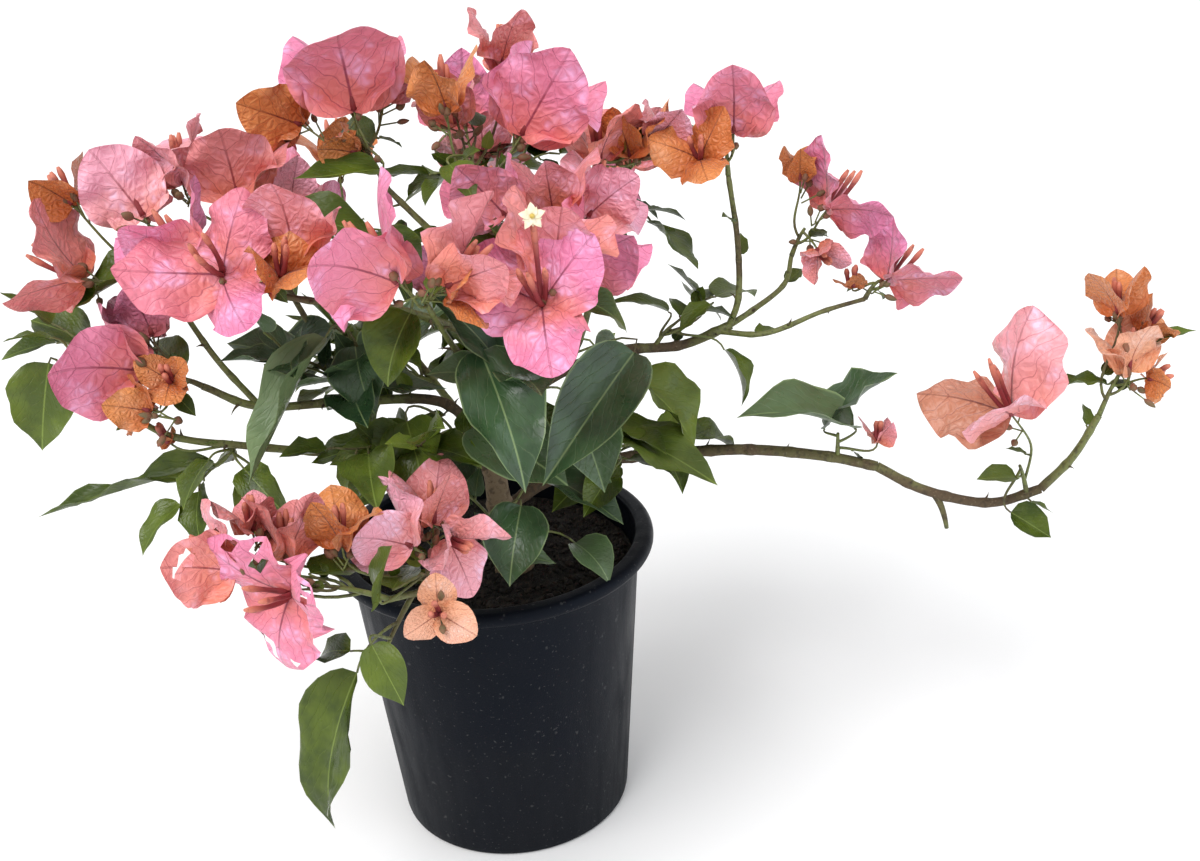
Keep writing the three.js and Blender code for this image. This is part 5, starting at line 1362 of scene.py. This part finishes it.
class PLANT_OT_stage(bpy.types.Operator):
    """Adds the pale floor, the soft light and the camera."""

    bl_idname = "plant.stage"
    bl_label = "Floor, light and camera"

    def execute(self, context):
        scene = context.scene
        mesh = bpy.data.meshes.new("floor")
        corners = FLOOR_HALF * np.array([(-1, -1, 0), (1, -1, 0), (1, 1, 0), (-1, 1, 0)])
        mesh.from_pydata(corners.tolist(), [], [(0, 1, 2, 3)])
        mesh.materials.append(finish("pale_floor", floor_look))
        floor = bpy.data.objects.new("floor", mesh)
        scene.collection.objects.link(floor)
        self.sky(scene)
        sun = bpy.data.lights.new("key", "SUN")
        sun.energy = scene.plant.key_strength
        sun.angle = math.radians(SUN_ANGLE)
        self.lamp(scene, sun, SUN_PLACE)
        fill = bpy.data.lights.new("fill", "AREA")
        fill.size = FILL_SIZE
        fill.energy = scene.plant.fill_power
        fill.color = FILL_COLOUR
        self.lamp(scene, fill, FILL_PLACE)
        camera = bpy.data.cameras.new("camera")
        camera.lens = CAMERA_LENS
        camera.sensor_width = CAMERA_SENSOR
        camera.clip_start = 0.05
        holder = bpy.data.objects.new("camera", camera)
        holder.matrix_world = camera_place(CAMERA_PLACE, CAMERA_PITCH, CAMERA_ROLL)
        scene.collection.objects.link(holder)
        scene.camera = holder
        scene.view_settings.view_transform = "Standard"
        scene.view_settings.exposure = 0.0
        return {"FINISHED"}

    def sky(self, scene):
        """A white sky that lights the plant at a share of its own brightness."""
        world = bpy.data.worlds.new("sky")
        world.use_nodes = True
        tree = world.node_tree
        seen = Signal(node(tree, "LightPath").outputs["Is Camera Ray"])
        background = tree.nodes["Background"].inputs
        tree.links.new(seen.over(scene.plant.sky_share).socket, background["Strength"])
        background["Color"].default_value = (1.0, 1.0, 1.0, 1)
        scene.world = world

    def lamp(self, scene, light, place):
        """Hangs a light up so that it looks at the middle of the crown."""
        holder = bpy.data.objects.new(light.name, light)
        aim = np.array(CROWN_MIDDLE) - np.array(place)
        holder.matrix_world = looking(place, unit(aim), UP)
        scene.collection.objects.link(holder)


def looking(place, ahead, upward):
    """A placement at place whose -Z looks ahead and whose Y leans upward."""
    upward = square_to(np.asarray(upward), ahead)
    right = np.cross(ahead, upward)
    matrix = np.eye(4)
    matrix[:3, :3] = np.stack([right, upward, -ahead], axis=1)
    matrix[:3, 3] = place
    return Matrix(matrix.tolist())


def camera_place(place, pitch, roll):
    """The camera's placement: looking along +Y, tipped down by pitch, rolled about its view."""
    p, r = math.radians(pitch), math.radians(roll)
    ahead = np.array([0, math.cos(p), -math.sin(p)])
    upward = np.array([0, math.sin(p), math.cos(p)])
    upward = upward * math.cos(r) - np.array([1.0, 0, 0]) * math.sin(r)
    return looking(place, ahead, upward)


class PLANT_PT_sidebar(bpy.types.Panel):
    """The plant's settings and its operators."""

    bl_idname = "PLANT_PT_sidebar"
    bl_label = "Potted bougainvillea"
    bl_space_type = "VIEW_3D"
    bl_region_type = "UI"
    bl_category = "Plant"

    def draw(self, context):
        for label in PlantSettings.__annotations__:
            self.layout.prop(context.scene.plant, label)
        for operator in OPERATORS:
            self.layout.operator(operator.bl_idname)


OPERATORS = (
    PLANT_OT_pot, PLANT_OT_soil, PLANT_OT_limbs, PLANT_OT_twigs,
    PLANT_OT_leaves, PLANT_OT_bracts, PLANT_OT_flowers, PLANT_OT_stage,
)
CLASSES = (PlantSettings, *OPERATORS, PLANT_PT_sidebar)


def register():
    for cls in CLASSES:
        bpy.utils.register_class(cls)
    bpy.types.Scene.plant = PointerProperty(type=PlantSettings)


def unregister():
    del bpy.types.Scene.plant
    for cls in reversed(CLASSES):
        bpy.utils.unregister_class(cls)


def main():
    register()
    for operator in OPERATORS:
        group, call = operator.bl_idname.split(".")
        getattr(getattr(bpy.ops, group), call)()


if __name__ == "__main__":
    main()
